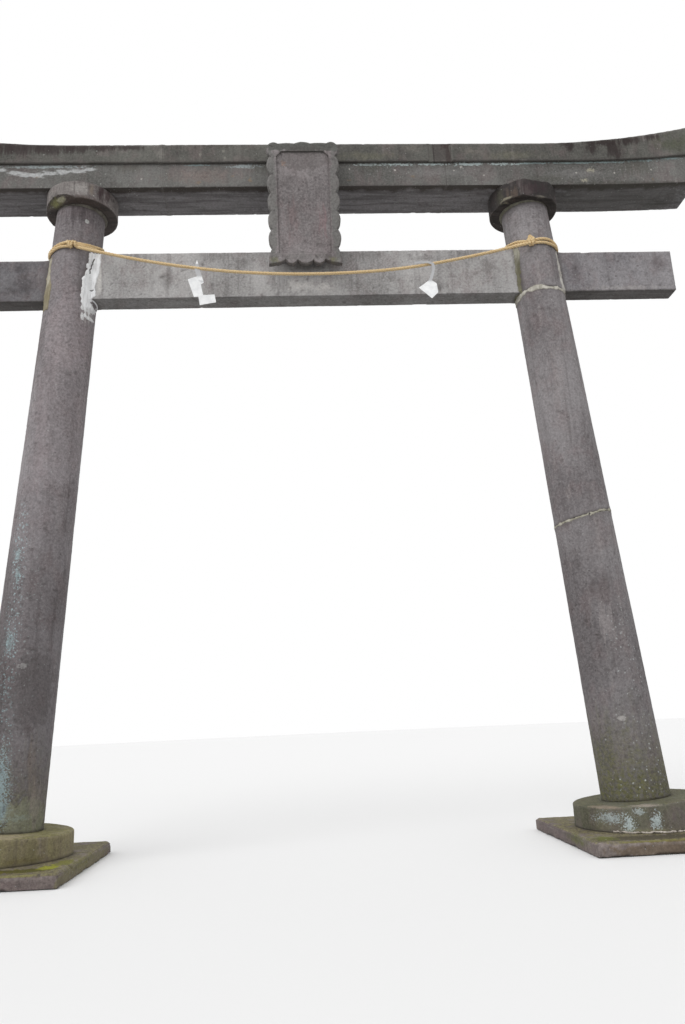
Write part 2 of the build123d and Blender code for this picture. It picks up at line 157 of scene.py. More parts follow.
class Surface(Board):
    # the shader of one material, with the noises and stains that it is made of
    def __init__(self, name):
        self.material = bpy.data.materials.new(name)
        super().__init__(self.material)
        self.place = self.node("TexCoord", {}, {}, out="Object")
        self.x, self.y, self.z = self.parts(self.place)
        self.upward = self.parts(self.node("NewGeometry", {}, {}, out="Normal"))[2]
        self.shared = {}  # noises that several stains use

    def parts(self, vector):
        split = self.node("SeparateXYZ", {}, {0: vector})
        return [Wire(self, socket) for socket in split.socket.node.outputs]

    def vector(self, operation, first, second, out=0):
        return self.node("VectorMath", {"operation": operation}, {0: first, 1: second}, out=out)

    def noise(self, scale, detail=3, rough=0.55, stretch=None, out=0):
        at = self.vector("MULTIPLY", self.place, stretch) if stretch else self.place
        sockets = {"Vector": at, "Scale": scale, "Detail": detail, "Roughness": rough}
        return self.node("TexNoise", {}, sockets, out)

    def cells(self, scale, at=None, out="Distance"):
        return self.node("TexVoronoi", {}, {"Vector": at or self.place, "Scale": scale}, out=out)

    def mix(self, factor, first, second, blend="MIX"):
        settings = {"data_type": "RGBA", "blend_type": blend}
        return self.node("Mix", settings, {0: factor, 6: first, 7: second}, out=2)

    def attribute(self, name):
        return self.node("Attribute", {"attribute_name": name}, {}, out="Fac")

    def spots(self, scale, size, share):
        # uneven specks of a size, in a share of the cells
        if "wavy" not in self.shared:
            wave = self.noise(spotWave["scale"], 2, 0.5, out="Color")
            bent = self.vector("MULTIPLY", wave, spotWave["reach"])
            self.shared["wavy"] = self.vector("ADD", self.place, bent)
        at = self.shared["wavy"]
        near = self.rise(self.cells(scale, at), size, size * 0.5)
        chosen = self.parts(self.cells(scale, at, out="Color"))
        return near * self.rise(chosen[0], 1 - share, 1 - share + 0.05) * self.rise(chosen[1], 0, 1, 0.5, 1)

    def grain(self, kind):
        if kind not in self.shared:
            if kind in spotKinds:
                small, large = [self.spots(*sizes) for sizes in spotKinds[kind]]
                self.shared[kind] = small.most(large)
            else:
                edge = stainEdges[kind]
                self.shared[kind] = self.noise(edge["scale"], 4, 0.65, edge["stretch"])
        return self.shared[kind]

    def patch(self, centre, size, kind):
        # a stain about a centre; dots and dust are clusters of lichen spots
        offset = self.vector("SUBTRACT", self.place, centre)
        scaled = self.vector("MULTIPLY", offset, [1 / s for s in size])
        away = self.vector("LENGTH", scaled, (0, 0, 0), out="Value")
        if kind in spotKinds:
            return self.grain(kind) * self.rise(away, 1.2, 0.5)
        edge = stainEdges[kind]
        return self.rise(away + (self.grain(kind) - 0.5) * edge["ragged"], 1.05, edge["soft"])

    def finish(self, colour, roughness, height, depth):
        # bump from a height of 0 to 1 over a depth in metres, then the surface itself
        bump = self.node("Bump", {}, {"Strength": 1.0, "Distance": depth, "Height": height}, out="Normal")
        sockets = {"Base Color": colour, "Roughness": roughness, "Normal": bump, "Specular IOR Level": 0.3}
        self.node("OutputMaterial", {}, {"Surface": self.node("BsdfPrincipled", {}, sockets)})
        return self.material


# Camera, light and floor

def placeCamera():
    turn = Matrix.Rotation(math.radians(-studio["yaw"]), 3, "Z")
    turn = turn @ Matrix.Rotation(math.radians(90 + studio["pitch"]), 3, "X")
    turn = turn @ Matrix.Rotation(math.radians(studio["roll"]), 3, "Z")
    camera = bpy.data.objects.new("camera", bpy.data.cameras.new("camera"))
    camera.matrix_world = Matrix.Translation(studio["eye"]) @ turn.to_4x4()
    camera.data.sensor_width = studio["sensor"]
    camera.data.lens = studio["focalPixels"] / studio["framePixels"] * studio["sensor"]
    bpy.context.scene.collection.objects.link(camera)
    bpy.context.scene.camera = camera


def placeLight():
    # a sky that lights less than it shows, and one broad sun
    scene = bpy.context.scene
    scene.view_settings.view_transform = "Standard"
    scene.world = bpy.data.worlds.new("sky")
    board = Board(scene.world)
    strength = board.rise(board.seen(), 0, 1, studio["skyStrength"], 1)
    sky = board.node("Background", {}, {"Color": "ffffff", "Strength": strength})
    board.node("OutputWorld", {}, {"Surface": sky})
    sun = bpy.data.objects.new("sun", bpy.data.lights.new("sun", "SUN"))
    sun.data.energy = studio["sunStrength"]
    sun.data.angle = math.radians(studio["sunAngle"])
    sun.rotation_euler = [math.radians(angle) for angle in studio["sunTurn"]]
    scene.collection.objects.link(sun)


def placeFloor():
    board = Surface("paleFloor")
    lit, shown = [(level, level, level, 1) for level in (studio["floorLit"], studio["floorSeen"])]
    disc = bmesh.new()
    bmesh.ops.create_circle(disc, cap_ends=True, radius=studio["floorRadius"], segments=96)
    floor = meshPiece("floor", disc)
    floor.data.materials.append(board.finish(board.mix(board.seen(), lit, shown), 0.9, 0.0, 0.001))


# Meshes

def meshPiece(name, shape):
    # a bmesh or a mesh becomes an object of the scene
    if isinstance(shape, bmesh.types.BMesh):
        mesh = bpy.data.meshes.new(name)
        shape.to_mesh(mesh)
        shape.free()
    else:
        mesh = shape
    mesh.name = name
    mesh.validate()
    piece = bpy.data.objects.new(name, mesh)
    bpy.context.scene.collection.objects.link(piece)
    return piece


def smoothShaded(piece):
    piece.data.polygons.foreach_set("use_smooth", np.ones(len(piece.data.polygons), bool))
    return piece


def dressed(piece, material, node=None):
    # the piece gets its material, hangs from the root body, and takes the place of its node
    piece.data.materials.clear()
    piece.data.materials.append(material)
    if node:
        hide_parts(node)
    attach(piece, "root")


def vertexVectors(mesh, field):
    flat = np.empty(len(mesh.vertices) * 3, np.float32)
    mesh.vertices.foreach_get(field, flat)
    return flat.reshape(-1, 3).astype(float)


def moveVertices(mesh, co):
    mesh.vertices.foreach_set("co", co.astype(np.float32).ravel())
    mesh.update()


def paint(mesh, name, values):
    layer = mesh.attributes.new(name, "FLOAT", "POINT")
    layer.data.foreach_set("value", np.clip(values, 0, 1).astype(np.float32))


def ease(values, low, high):
    share = np.clip((values - low) / (high - low), 0, 1)
    return share * share * (3 - 2 * share)


def blurred(values, edges, rounds):
    # each vertex drifts towards the mean of its neighbours
    count = len(values)
    first, second = edges.T
    near = np.bincount(first, minlength=count) + np.bincount(second, minlength=count)
    for _ in range(rounds):
        columns = [
            np.bincount(first, column[second], count) + np.bincount(second, column[first], count)
            for column in values.T
        ]
        values = (values + np.stack(columns, 1) / near[:, None]) / 2
    return values


def rough(points, scale, octaves, seed):
    # fractal noise of about -1 to 1 at every point
    shift = Vector((seed * 7.3, seed * 3.1, seed * 5.7))
    return np.array([noise.fractal(Vector(p) * scale + shift, 0.9, 2.0, octaves) for p in points])


# Worn stone

wear = {
    "sharp": 22,  # degrees between two faces that meet in an edge
    "snap": 0.3,  # share of the grain within which a point goes onto such an edge
    "sharpStep": 0.25,  # share of the grain between the points that stand for an edge
    "breakDepth": 0.02,  # how far below its plane a break still roughens the stone
    "breakRagged": 0.004,
    "reach": 0.05,  # how far a stone feels the stone beside it
    "free": (0.002, 0.032),  # distance from the next stone over which wear sets in
    "seam": (0.004, 0.022),  # the same, over which the dirt of a joint ends
    "lap": 0.006,  # how far a closed end runs into the next stone
    "lapReach": 0.02,
    "swellScale": 3.5,
    "dressScale": 30,
    "edgeGain": 4,  # from a bend in grains to how much of an edge it is
    "edgeFrom": 0.2,
    "chipGain": 6,
    "chipBend": 1.6,
    "chipBendFrom": 0.4,
    "chipHeld": 0.15,  # share of a chip that stays beside another stone
}
# How much each form of wear shows in the painted layers of worn edges and of hollows
wearShown = {
    "edge": 0.5,
    "chip": 0.8,
    "pit": 2.5,
    "dressFrom": -0.45,
    "dress": 0.3,
    "bend": 5,
    "bendFrom": 0.15,
    "bendMost": 0.9,
}


def weldedSolid(node):
    net = bmesh.new()
    net.from_mesh(frame["nodes"][node].data)
    bmesh.ops.remove_doubles(net, verts=net.verts, dist=1e-5)
    return net


def nodeTree(node):
    mesh = frame["nodes"][node].data
    faces = [tuple(face.vertices) for face in mesh.polygons]
    return BVHTree.FromPolygons(vertexVectors(mesh, "co").tolist(), faces)


def clearance(node, points):
    # how far each point lies from the nearest other stone, up to a limit
    reach = wear["reach"]
    gap = np.full(len(points), reach)
    for other, tree in trees.items():
        if other == node:
            continue
        low, high = [np.array(corner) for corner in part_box(other)]
        beside = np.all((points > low - reach) & (points < high + reach), axis=1)
        for index in np.flatnonzero(beside):
            away = tree.find_nearest(points[index], reach)[3]
            if away is not None and away < gap[index]:
                gap[index] = away
    return gap


def evenNet(node, grain):
    # the node's closed solid as an even net of small faces that keeps its sharp edges
    helper = meshPiece("helper", weldedSolid(node))
    remesh = helper.modifiers.new("remesh", "REMESH")
    remesh.mode = "SHARP"
    size = max(helper.dimensions)
    remesh.octree_depth = math.ceil(math.log2(size / (0.98 * grain)))
    remesh.scale = size / (grain * 2**remesh.octree_depth)
    remesh.use_remove_disconnected = False
    return evaluatedMesh(helper)


def evaluatedMesh(helper):
    # the mesh that a helper object comes to, once the helper is gone
    graph = bpy.context.evaluated_depsgraph_get()
    mesh = bpy.data.meshes.new_from_object(helper.evaluated_get(graph))
    bpy.data.objects.remove(helper)
    return mesh


def sharpLines(node, spacing):
    # points along the node's sharp edges
    net = weldedSolid(node)
    found = []
    for edge in net.edges:
        if len(edge.link_faces) == 2 and edge.calc_face_angle() > math.radians(wear["sharp"]):
            first, second = [vert.co.copy() for vert in edge.verts]
            count = max(2, int(edge.calc_length() / spacing))
            found += [first.lerp(second, k / count) for k in range(count + 1)]
    net.free()
    tree = KDTree(len(found))
    for index, point in enumerate(found):
        tree.insert(point, index)
    tree.balance()
    return tree


def crisped(node, co, grain):
    # points return to the node's own faces, and those beside a sharp edge go onto it
    lines = sharpLines(node, grain * wear["sharpStep"])
    for index, point in enumerate(co):
        edgePoint, _, away = lines.find(point)
        if edgePoint is not None and away < wear["snap"] * grain:
            co[index] = edgePoint
        else:
            co[index] = trees[node].find_nearest(point)[0]
    return co


def broken(co, breaks, seed):
    # each break is a rough plane that takes off what stands past it, within a reach of its middle
    for index, (middle, direction, reach) in enumerate(breaks):
        away = co - np.array(middle)
        normal = np.array(direction) / np.linalg.norm(direction)
        past = away @ normal
        chosen = np.flatnonzero((np.linalg.norm(away, axis=1) < reach) & (past > -wear["breakDepth"]))
        uneven = wear["breakRagged"] * rough(co[chosen], 40, 3, seed + index)
        co[chosen] -= normal * np.clip(past[chosen] + uneven, 0, None)[:, None]
    return co


def startingShape(node, mesh, look):
    # where the points stand before any wear
    co = crisped(node, vertexVectors(mesh, "co"), look["grain"])
    if look["filled"]:
        low, high = [np.array(corner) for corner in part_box(node)]
        first, last = [np.array(corner) for corner in look["filled"]]
        co = first + (co - low) * (last - first) / (high - low)
    co = broken(co, look["breaks"], look["seed"] + 20)
    for place in look["closed"]:
        share = 1 - ease(np.abs(co[:, 0] - place), 0.0, wear["lapReach"])
        co[:, 0] += wear["lap"] * share * np.sign(place - co[:, 0].mean())
    return co


def wornStone(node, look):
    # the node's solid with softened edges, chips, a hand-dressed face and pits
    mesh = evenNet(node, look["grain"])
    seed = look["seed"]
    co = startingShape(node, mesh, look)
    moveVertices(mesh, co)
    flat = np.empty(len(mesh.edges) * 2, np.int32)
    mesh.edges.foreach_get("vertices", flat)
    edges = flat.reshape(-1, 2)
    normal = vertexVectors(mesh, "normal")
    gap = clearance(node, co)
    free = ease(gap, *wear["free"])
    near = blurred(co, edges, look["soften"])
    far = blurred(near, edges, look["chipReach"])
    bend = ((co - near) * normal).sum(1) / look["grain"]
    wide = ((co - far) * normal).sum(1) / look["grain"]
    edge = np.clip(bend * wear["edgeGain"] - wear["edgeFrom"], 0, 1)
    chips = np.clip((rough(co, look["chipScale"], 3, seed) - look["chipFrom"]) * wear["chipGain"], 0, 1)
    chips = chips * np.clip(wide * wear["chipBend"] - wear["chipBendFrom"], 0, 1)
    swell = rough(co, wear["swellScale"], 2, seed + 1)
    dress = rough(co, wear["dressScale"], 3, seed + 2)
    pits = np.clip(rough(co, look["pitScale"], 2, seed + 3) - look["pitFrom"], 0, 1)
    moved = co + (near - co) * (edge * look["round"] * free)[:, None]
    moved = moved + (far - moved) * (chips * (wear["chipHeld"] + (1 - wear["chipHeld"]) * free))[:, None]
    inwards = look["swell"] * (1 + swell) / 2 + look["dress"] * (1 + dress) / 2 + look["pitDepth"] * pits
    moved = moved - normal * (inwards * free)[:, None]
    moved[:, 2] = np.maximum(moved[:, 2], co[:, 2].min())
    moveVertices(mesh, moved)
    amount = wearShown
    hollow = np.clip(-bend * amount["bend"] - amount["bendFrom"], 0, amount["bendMost"])
    paint(mesh, "worn", edge * amount["edge"] + chips * amount["chip"])
    paint(mesh, "sunk", pits * amount["pit"] + (dress < amount["dressFrom"]) * amount["dress"] + hollow)
    paint(mesh, "seam", 1 - ease(gap, *wear["seam"]))
    return smoothShaded(meshPiece(node + "_worn", mesh))


# Pillars and rope

pillarAxis = {
    "footX": 1.819,
    "footZ": 0.228,
    "lean": math.atan2(0.269, 4.083),
    "footRadius": 0.198,
    "headRadius": 0.16,
    "rise": 4.083,
}

rope = {
    "route": [
        (-1.516, -0.19, 3.834), (-1.345, -0.188, 3.789), (-1.13, -0.186, 3.739),
        (-0.88, -0.186, 3.69), (-0.6, -0.187, 3.648), (-0.33, -0.188, 3.624),
        (-0.06, -0.189, 3.612), (0.2, -0.189, 3.615), (0.44, -0.188, 3.628),
        (0.665, -0.188, 3.65), (0.915, -0.187, 3.694), (1.145, -0.187, 3.741),
        (1.35, -0.189, 3.788), (1.516, -0.19, 3.829),
    ],
    "radius": 0.01,
    "strands": 3,
    "pitch": 0.066,
    "step": 0.0045,
    "plump": 1.2,  # how much thicker a strand is than its share of the rope
    "endTaper": 0.6,
    "wobble": 0.05,  # of a strand's thickness, and how fast it comes and goes
    "wobbleRate": 90,
    "sides": 9,
    "length": 3.0727,
    "straws": 420,  # loose ends of straw along the span
}

# Rope on each pillar. Turns are degrees round from the front towards +X, and height up the axis. Loops over
# them are degrees, height, half height, depth, tilt and swing. The free end is degrees, height and lift.
wraps = {
    "left": {
        "side": -1,
        "turns": [
            [
                (4, 3.88), (22, 3.883), (46, 3.894), (76, 3.924), (94, 3.946), (130, 3.95), (175, 3.935),
                (220, 3.9), (270, 3.858), (296, 3.846), (312, 3.848), (328, 3.866), (348, 3.88),
                (364, 3.888),
            ],
            [
                (8, 3.856), (-5, 3.853), (-23, 3.852), (-42, 3.84), (-66, 3.836), (-95, 3.842),
                (-140, 3.872), (-185, 3.905), (-230, 3.922), (-268, 3.918), (-300, 3.89), (-322, 3.874),
                (-340, 3.868), (-354, 3.872),
            ],
        ],
        "rings": [
            (0, 3.865, 0.0205, 0.012, 0.01), (6, 3.866, 0.0205, 0.014, -0.01),
            (15, 3.868, 0.018, 0.012, 0.004, 0.01),
        ],
        "tail": [],
    },
    "right": {
        "side": 1,
        "turns": [
            [
                (-20, 3.863), (-9, 3.863), (4, 3.869), (18, 3.87), (32, 3.866), (45, 3.855), (70, 3.858),
                (100, 3.872), (140, 3.905), (180, 3.935), (220, 3.953), (255, 3.95), (282, 3.918),
                (310, 3.896), (335, 3.866), (342, 3.858),
            ],
            [
                (-22, 3.846), (-9, 3.842), (11, 3.843), (31, 3.835), (46, 3.832), (70, 3.836), (100, 3.85),
                (140, 3.882), (180, 3.912), (220, 3.93), (255, 3.926), (282, 3.897), (310, 3.876),
                (334, 3.85),
            ],
        ],
        "rings": [(-21, 3.853, 0.024, 0.013, 0.006), (-13, 3.853, 0.024, 0.013, -0.006)],
        "tail": [
            (-15, 3.85, 0.026), (-18, 3.868, 0.024), (-20, 3.886, 0.02), (-17.5, 3.898, 0.018),
            (-14.5, 3.889, 0.016), (-15, 3.872, 0.018),
        ],
    },
}
wrapFit = {"lift": 0.0015, "thickness": 0.95, "ringLift": 0.004, "ringPoints": 12, "strawEvery": 6}
looseStraw = {"length": (0.012, 0.034), "lift": (0.1, 0.35), "droop": 0.12, "radius": 0.0006, "root": 0.9}


def axisPoint(side, height):
    # a point on a pillar's axis, by height, and the direction across it
    lean = pillarAxis["lean"]
    x = side * (pillarAxis["footX"] - math.tan(lean) * (height - pillarAxis["footZ"]))
    return Vector((x, 0, height)), Vector((math.cos(lean), 0, side * math.sin(lean)))


def pillarRadius(height):
    share = (height - pillarAxis["footZ"]) / pillarAxis["rise"]
    return pillarAxis["footRadius"] + (pillarAxis["headRadius"] - pillarAxis["footRadius"]) * share


def onPillar(side, degrees, height, lift):
    middle, across = axisPoint(side, height)
    angle = math.radians(degrees)
    reach = pillarRadius(height) + lift
    return middle + (across * math.sin(angle) + Vector((0, -1, 0)) * math.cos(angle)) * reach


def splineLine(points):
    # a smooth NURBS line through a route, read back as points
    data = bpy.data.curves.new("route", "CURVE")
    data.dimensions = "3D"
    data.resolution_u = 24
    spline = data.splines.new("NURBS")
    spline.points.add(len(points) - 1)
    for point, place in zip(spline.points, points):
        point.co = (*place, 1)
    spline.order_u = 3
    spline.use_endpoint_u = True
    helper = bpy.data.objects.new("route", data)
    bpy.context.scene.collection.objects.link(helper)
    return vertexVectors(evaluatedMesh(helper), "co")


def evenly(line, step):
    # the line in equal steps, and how far along it each point lies
    run = np.concatenate([[0], np.cumsum(np.linalg.norm(np.diff(line, axis=0), axis=1))])
    marks = np.linspace(0, run[-1], max(4, int(run[-1] / step)))
    return np.stack([np.interp(marks, run, line[:, k]) for k in range(3)], 1), marks


def directions(points):
    along = np.gradient(points, axis=0)
    return along / np.linalg.norm(along, axis=1)[:, None]


def sideways(points):
    # two directions square to a line at each of its points, carried along without twist
    along = directions(points)
    first = np.empty_like(points)
    guide = np.cross(along[0], (0, 0, 1.0))
    if np.linalg.norm(guide) < 0.1:
        guide = np.cross(along[0], (1.0, 0, 0))
    for index, direction in enumerate(along):
        guide = guide - direction * (guide @ direction)
        guide = guide / np.linalg.norm(guide)
        first[index] = guide
    return first, np.cross(along, first)


def tube(net, points, radii, sides):
    # a closed tube of rings about a line
    first, second = sideways(points)
    turns = [2 * math.pi * k / sides for k in range(sides)]
    rings = [
        [net.verts.new(point + (a * math.cos(t) + b * math.sin(t)) * radius) for t in turns]
        for point, a, b, radius in zip(points, first, second, radii)
    ]
    for low, high in zip(rings, rings[1:]):
        for k in range(sides):
            net.faces.new((low[k], low[(k + 1) % sides], high[(k + 1) % sides], high[k]))
    net.faces.new(rings[0][::-1])
    net.faces.new(rings[-1])


def layRope(net, line, radius, rng):
    # twisted strands about a line
    points, marks = evenly(line, rope["step"])
    first, second = sideways(points)
    count = rope["strands"]
    strand = radius / (1 + 1 / math.sin(math.pi / count))
    for k in range(count):
        turn = 2 * math.pi * (marks / rope["pitch"] + k / count)
        wobble = 1 + rope["wobble"] * np.sin(marks * rope["wobbleRate"] + rng.uniform(0, 6))
        core = points + (first * np.cos(turn)[:, None] + second * np.sin(turn)[:, None]) * (radius - strand)
        radii = strand * rope["plump"] * wobble
        radii[[0, -1]] *= rope["endTaper"]
        tube(net, core, radii, rope["sides"])
    return points


def addStraws(net, points, count, rng):
    # loose ends of straw that stand out of the lay
    first, second = sideways(points)
    along = directions(points)
    steps = np.linspace(0, 1, 4)
    for _ in range(count):
        i = rng.randrange(2, len(points) - 2)
        turn = rng.uniform(0, 2 * math.pi)
        out = first[i] * math.cos(turn) + second[i] * math.sin(turn)
        length = rng.uniform(*looseStraw["length"])
        lift = rng.uniform(*looseStraw["lift"])
        start = points[i] + out * rope["radius"] * looseStraw["root"]
        straw = np.array([start + along[i] * length * s + out * length * lift * s * s for s in steps])
        straw[:, 2] -= looseStraw["droop"] * length * steps**2
        tube(net, straw, looseStraw["radius"] * (1.1 - steps), 3)


def makeSpan():
    rng = random.Random(4)
    net = bmesh.new()
    points = layRope(net, splineLine(rope["route"]), rope["radius"], rng)
    loose = bmesh.new()
    addStraws(loose, points, rope["straws"], rng)
    return meshPiece("rope_twisted", net), meshPiece("rope_straws", loose), points


def ringOver(side, degrees, height, tall, deep, tilt, swing=0.0):
    # a loop of rope round the turns, seen from the front as an upright band
    middle = onPillar(side, degrees, height, rope["radius"])
    out = (middle - axisPoint(side, height)[0]).normalized()
    up = (Vector((0, 0, 1)) - out * out.z).normalized()
    across = out.cross(up)
    points = []
    for k in range(wrapFit["ringPoints"] + 1):
        t = 2 * math.pi * k / wrapFit["ringPoints"]
        lean = across * (math.cos(t) * tilt + math.sin(t) * swing)
        lift = deep * math.sin(t) + wrapFit["ringLift"]
        points.append(middle + up * (tall * math.cos(t)) + out * lift + lean)
    return points


def makeWrap(name, wrap):
    side = wrap["side"]
    rng = random.Random(11 + side)
    net = bmesh.new()
    lines = [
        [onPillar(side, angle, height, rope["radius"] + wrapFit["lift"]) for angle, height in turn]
        for turn in wrap["turns"]
    ]
    lines += [ringOver(side, *ring) for ring in wrap["rings"]]
    if wrap["tail"]:
        lines.append([onPillar(side, *place) for place in wrap["tail"]])
    for points in lines:
        laid = layRope(net, splineLine(points), rope["radius"] * wrapFit["thickness"], rng)
        addStraws(net, laid, max(4, len(laid) // wrapFit["strawEvery"]), rng)
    return meshPiece(name, net)


# Mortar

mortarLook = {
    "feather": 0.006,  # over which it thins out at its edge
    "ragged": 1.44,
    "dip": 0.007,  # how far it runs under the stone's face outside its edge
    "backing": 0.009,
    "fillet": 0.012,
    "bead": 0.008,  # along the top and the foot of a tie stone
    "margin": 0.02,
    "crackDepth": 0.006,
    "crackWander": 0.004,
    "dripFoot": 0.4,  # width of a drip at its foot, as a share of its head
    "lumpScale": 38,
    "evenShare": 0.75,  # of how proud it stands; the rest is in its lumps
    "cornerLumps": 0.35,
    "bandLumps": 0.4,
    "pitStretch": 0.003,  # metres round the pillar for each degree, in a pit
}
collarLook = {"grain": 0.012, "lump": 0.0022, "level": 0.6}


def lumps(x, z, seed):
    scale = mortarLook["lumpScale"]
    return noise.fractal(Vector((x * scale, z * scale, seed)), 0.9, 2.0, 3)


def edgeFill(inside, x, z, seed):
    # 1 well inside the edge, 0 on it and -1 outside, with a ragged line
    wander = noise.fractal(Vector((x * 32, seed, z * 26)), 0.8, 2.0, 4)
    return max(-1.0, min(1.0, inside / mortarLook["feather"] + mortarLook["ragged"] * wander))


def liftOf(fill, proud):
    return proud * fill if fill > 0 else mortarLook["dip"] * fill


def addSkin(net, points, fill, crack, closed=False, flip=False):
    # a sheet of mortar from a grid of points, kept where it fills, with a backing inside the stone
    cracked, thin = [
        net.verts.layers.float.get(name) or net.verts.layers.float.new(name) for name in ("crack", "thin")
    ]
    rows, columns = fill.shape
    made = {}

    def at(place):
        if place not in made:
            vert = net.verts.new(points[place])
            vert[cracked] = crack[place]
            vert[thin] = 1 - float(ease(fill[place], 0, 1))
            made[place] = vert
        return made[place]

    faces = []
    for i in range(rows - 1):
        for j in range(columns if closed else columns - 1):
            k = (j + 1) % columns
            spots = [(i, j), (i, k), (i + 1, k), (i + 1, j)]
            if max(fill[s] for s in spots) > -0.95:
                order = spots[::-1] if flip else spots
                faces.append(net.faces.new([at(s) for s in order]))
    net.normal_update()
    bmesh.ops.solidify(net, geom=faces, thickness=mortarLook["backing"])


def dripInside(dx, z, drip):
    # how far a point lies inside a run of mortar from its head down to its foot
    headX, headZ, footX, footZ, half = drip
    share = (z - footZ) / (headZ - footZ)
    if not 0 <= share <= 1:
        return -1.0
    width = half * (mortarLook["dripFoot"] + (1 - mortarLook["dripFoot"]) * share)
    return width - abs(dx - footX - (headX - footX) * share)


def crackAt(cracks, axis, dx, z):
    # how deep the nearest crack is at a point, 0 to 1
    deepest = 0.0
    for along, reach in cracks:
        heights, offsets = np.array(along).T
        if heights[0] < z < heights[-1]:
            middle = np.interp(z, heights, offsets) + mortarLook["crackWander"] * lumps(axis, z * 2, 9)
            deepest = max(deepest, 1 - abs(dx - middle) / reach)
    return deepest


def farRows(look):
    # an even joint for the side away from the viewer
    low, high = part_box(look["tie"])
    rows = []
    for z in np.linspace(low[2], high[2], 5):
        seam = math.sqrt(pillarRadius(z) ** 2 - low[1] ** 2)
        edges = [look["towards"] * (seam + reach) for reach in (-0.013, 0.0091)]
        rows.append((float(z), *sorted(edges)))
    return rows


def addCornerSkin(net, look, turn):
    # mortar in the corner between a pillar and a tie stone, before it (turn -1) or behind it (turn 1);
    # rows hold height, and left and right edge from the pillar's axis
    back = turn > 0
    rows = np.array(farRows(look) if back else look["rows"])
    drips = [] if back else look["drips"]
    cracks = [] if back else look["cracks"]
    margin, step, fillet = mortarLook["margin"], look["step"], mortarLook["fillet"]
    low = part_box(look["tie"])[0]
    lowest = min([rows[0, 0]] + [drip[3] for drip in look["drips"]]) - margin
    heights = np.arange(lowest, rows[-1, 0] + margin + step, step)
    offsets = np.arange(rows[:, 1].min() - margin, rows[:, 2].max() + margin + step, step)
    points = np.zeros((len(heights), len(offsets), 3))
    fill = np.zeros((len(heights), len(offsets)))
    crack = np.zeros_like(fill)
    for i, z in enumerate(heights):
        radius = pillarRadius(z)
        axis = axisPoint(look["side"], z)[0].x
        start, end = [np.interp(z, rows[:, 0], rows[:, k]) for k in (1, 2)]
        tie = -low[1] * float(ease(z, low[2] - 0.004, low[2] + 0.004))
        for j, dx in enumerate(offsets):
            shaft = math.sqrt(max(0.0, radius**2 - dx**2))
            depth = max(shaft, tie) + max(0.0, fillet - abs(shaft - tie)) ** 2 / (4 * fillet)
            inside = min(dx - start, end - dx, z - rows[0, 0], rows[-1, 0] - z)
            inside = max([inside] + [dripInside(dx, z, drip) for drip in drips])
            fill[i, j] = edgeFill(inside, axis + dx, z, look["seed"] + turn)
            crack[i, j] = crackAt(cracks, axis, dx, z)
            lump = mortarLook["cornerLumps"] * lumps(axis + dx, z, look["seed"])
            lift = liftOf(fill[i, j], look["proud"] * (mortarLook["evenShare"] + lump))
            lift -= mortarLook["crackDepth"] * crack[i, j] * max(0.0, fill[i, j])
            points[i, j] = (axis + dx, turn * (depth + lift), z)
    addSkin(net, points, fill, crack, flip=back)


def cornerMortar(look):
    # both faces of the joint, and a bead along its top and its foot
    net = bmesh.new()
    addCornerSkin(net, look, -1)
    addCornerSkin(net, look, 1)
    low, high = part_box(look["tie"])
    reach = math.degrees(math.acos(-low[1] / pillarRadius(low[2])))
    for z in (low[2] - 0.001, high[2] + 0.001):
        path = []
        for degrees in np.linspace(reach - 4, 184 - reach, 24):
            point = onPillar(look["side"], look["towards"] * degrees, z, 0.0)
            path.append((point.x, point.y, z))
        widths = [mortarLook["bead"] * (0.8 + 0.3 * lumps(x, y, look["seed"])) for x, y, _ in path]
        tube(net, np.array(path), widths, 8)
    return net


def bedPlane(node):
    # height of a bed of mortar over each place, as a flat plane through its corners
    co = vertexVectors(frame["nodes"][node].data, "co")
    table = np.stack([np.ones(len(co)), co[:, 0], co[:, 1]], 1)
    return np.linalg.lstsq(table, co[:, 2], rcond=None)[0]


def bandMortar(node, look):
    # a ragged band round a pillar over its bed
    side = look["side"]
    base, slopeX, slopeY = bedPlane(node)
    turns = np.arange(0, 360, 2.0)
    heights = np.arange(-look["reach"], look["reach"] + 0.001, look["step"])
    points = np.zeros((len(heights), len(turns), 3))
    fill = np.zeros((len(heights), len(turns)))
    pit = np.zeros_like(fill)
    marks = np.array(look["front"])
    for j, degrees in enumerate(turns):
        signed = degrees - 360 if degrees > 180 else degrees
        shift, half = [np.interp(signed, marks[:, 0], marks[:, k]) for k in (1, 2)]
        middle = onPillar(side, degrees, base + slopeX * axisPoint(side, base)[0].x, 0)
        for _ in range(3):
            level = base + slopeX * middle.x + slopeY * middle.y
            tall = side * math.sin(pillarAxis["lean"]) * math.sin(math.radians(degrees)) * pillarRadius(level)
            middle = onPillar(side, degrees, level - tall, 0)
        for i, up in enumerate(heights):
            point = onPillar(side, degrees, level - tall + up, 0)
            fill[i, j] = edgeFill(half - abs(up - shift), math.radians(signed) * 0.17, up, look["seed"])
            for at, size in look["pits"]:
                away = math.hypot((signed - at) * mortarLook["pitStretch"], up - shift)
                pit[i, j] = max(pit[i, j], 1 - away / size, 0)
            lump = mortarLook["bandLumps"] * lumps(point.x, point.z, look["seed"])
            lift = liftOf(fill[i, j], look["proud"] * (mortarLook["evenShare"] + lump))
            lift -= mortarLook["crackDepth"] * pit[i, j]
            points[i, j] = onPillar(side, degrees, level - tall + up, lift)
    net = bmesh.new()
    addSkin(net, points, fill, pit, closed=True)
    return net


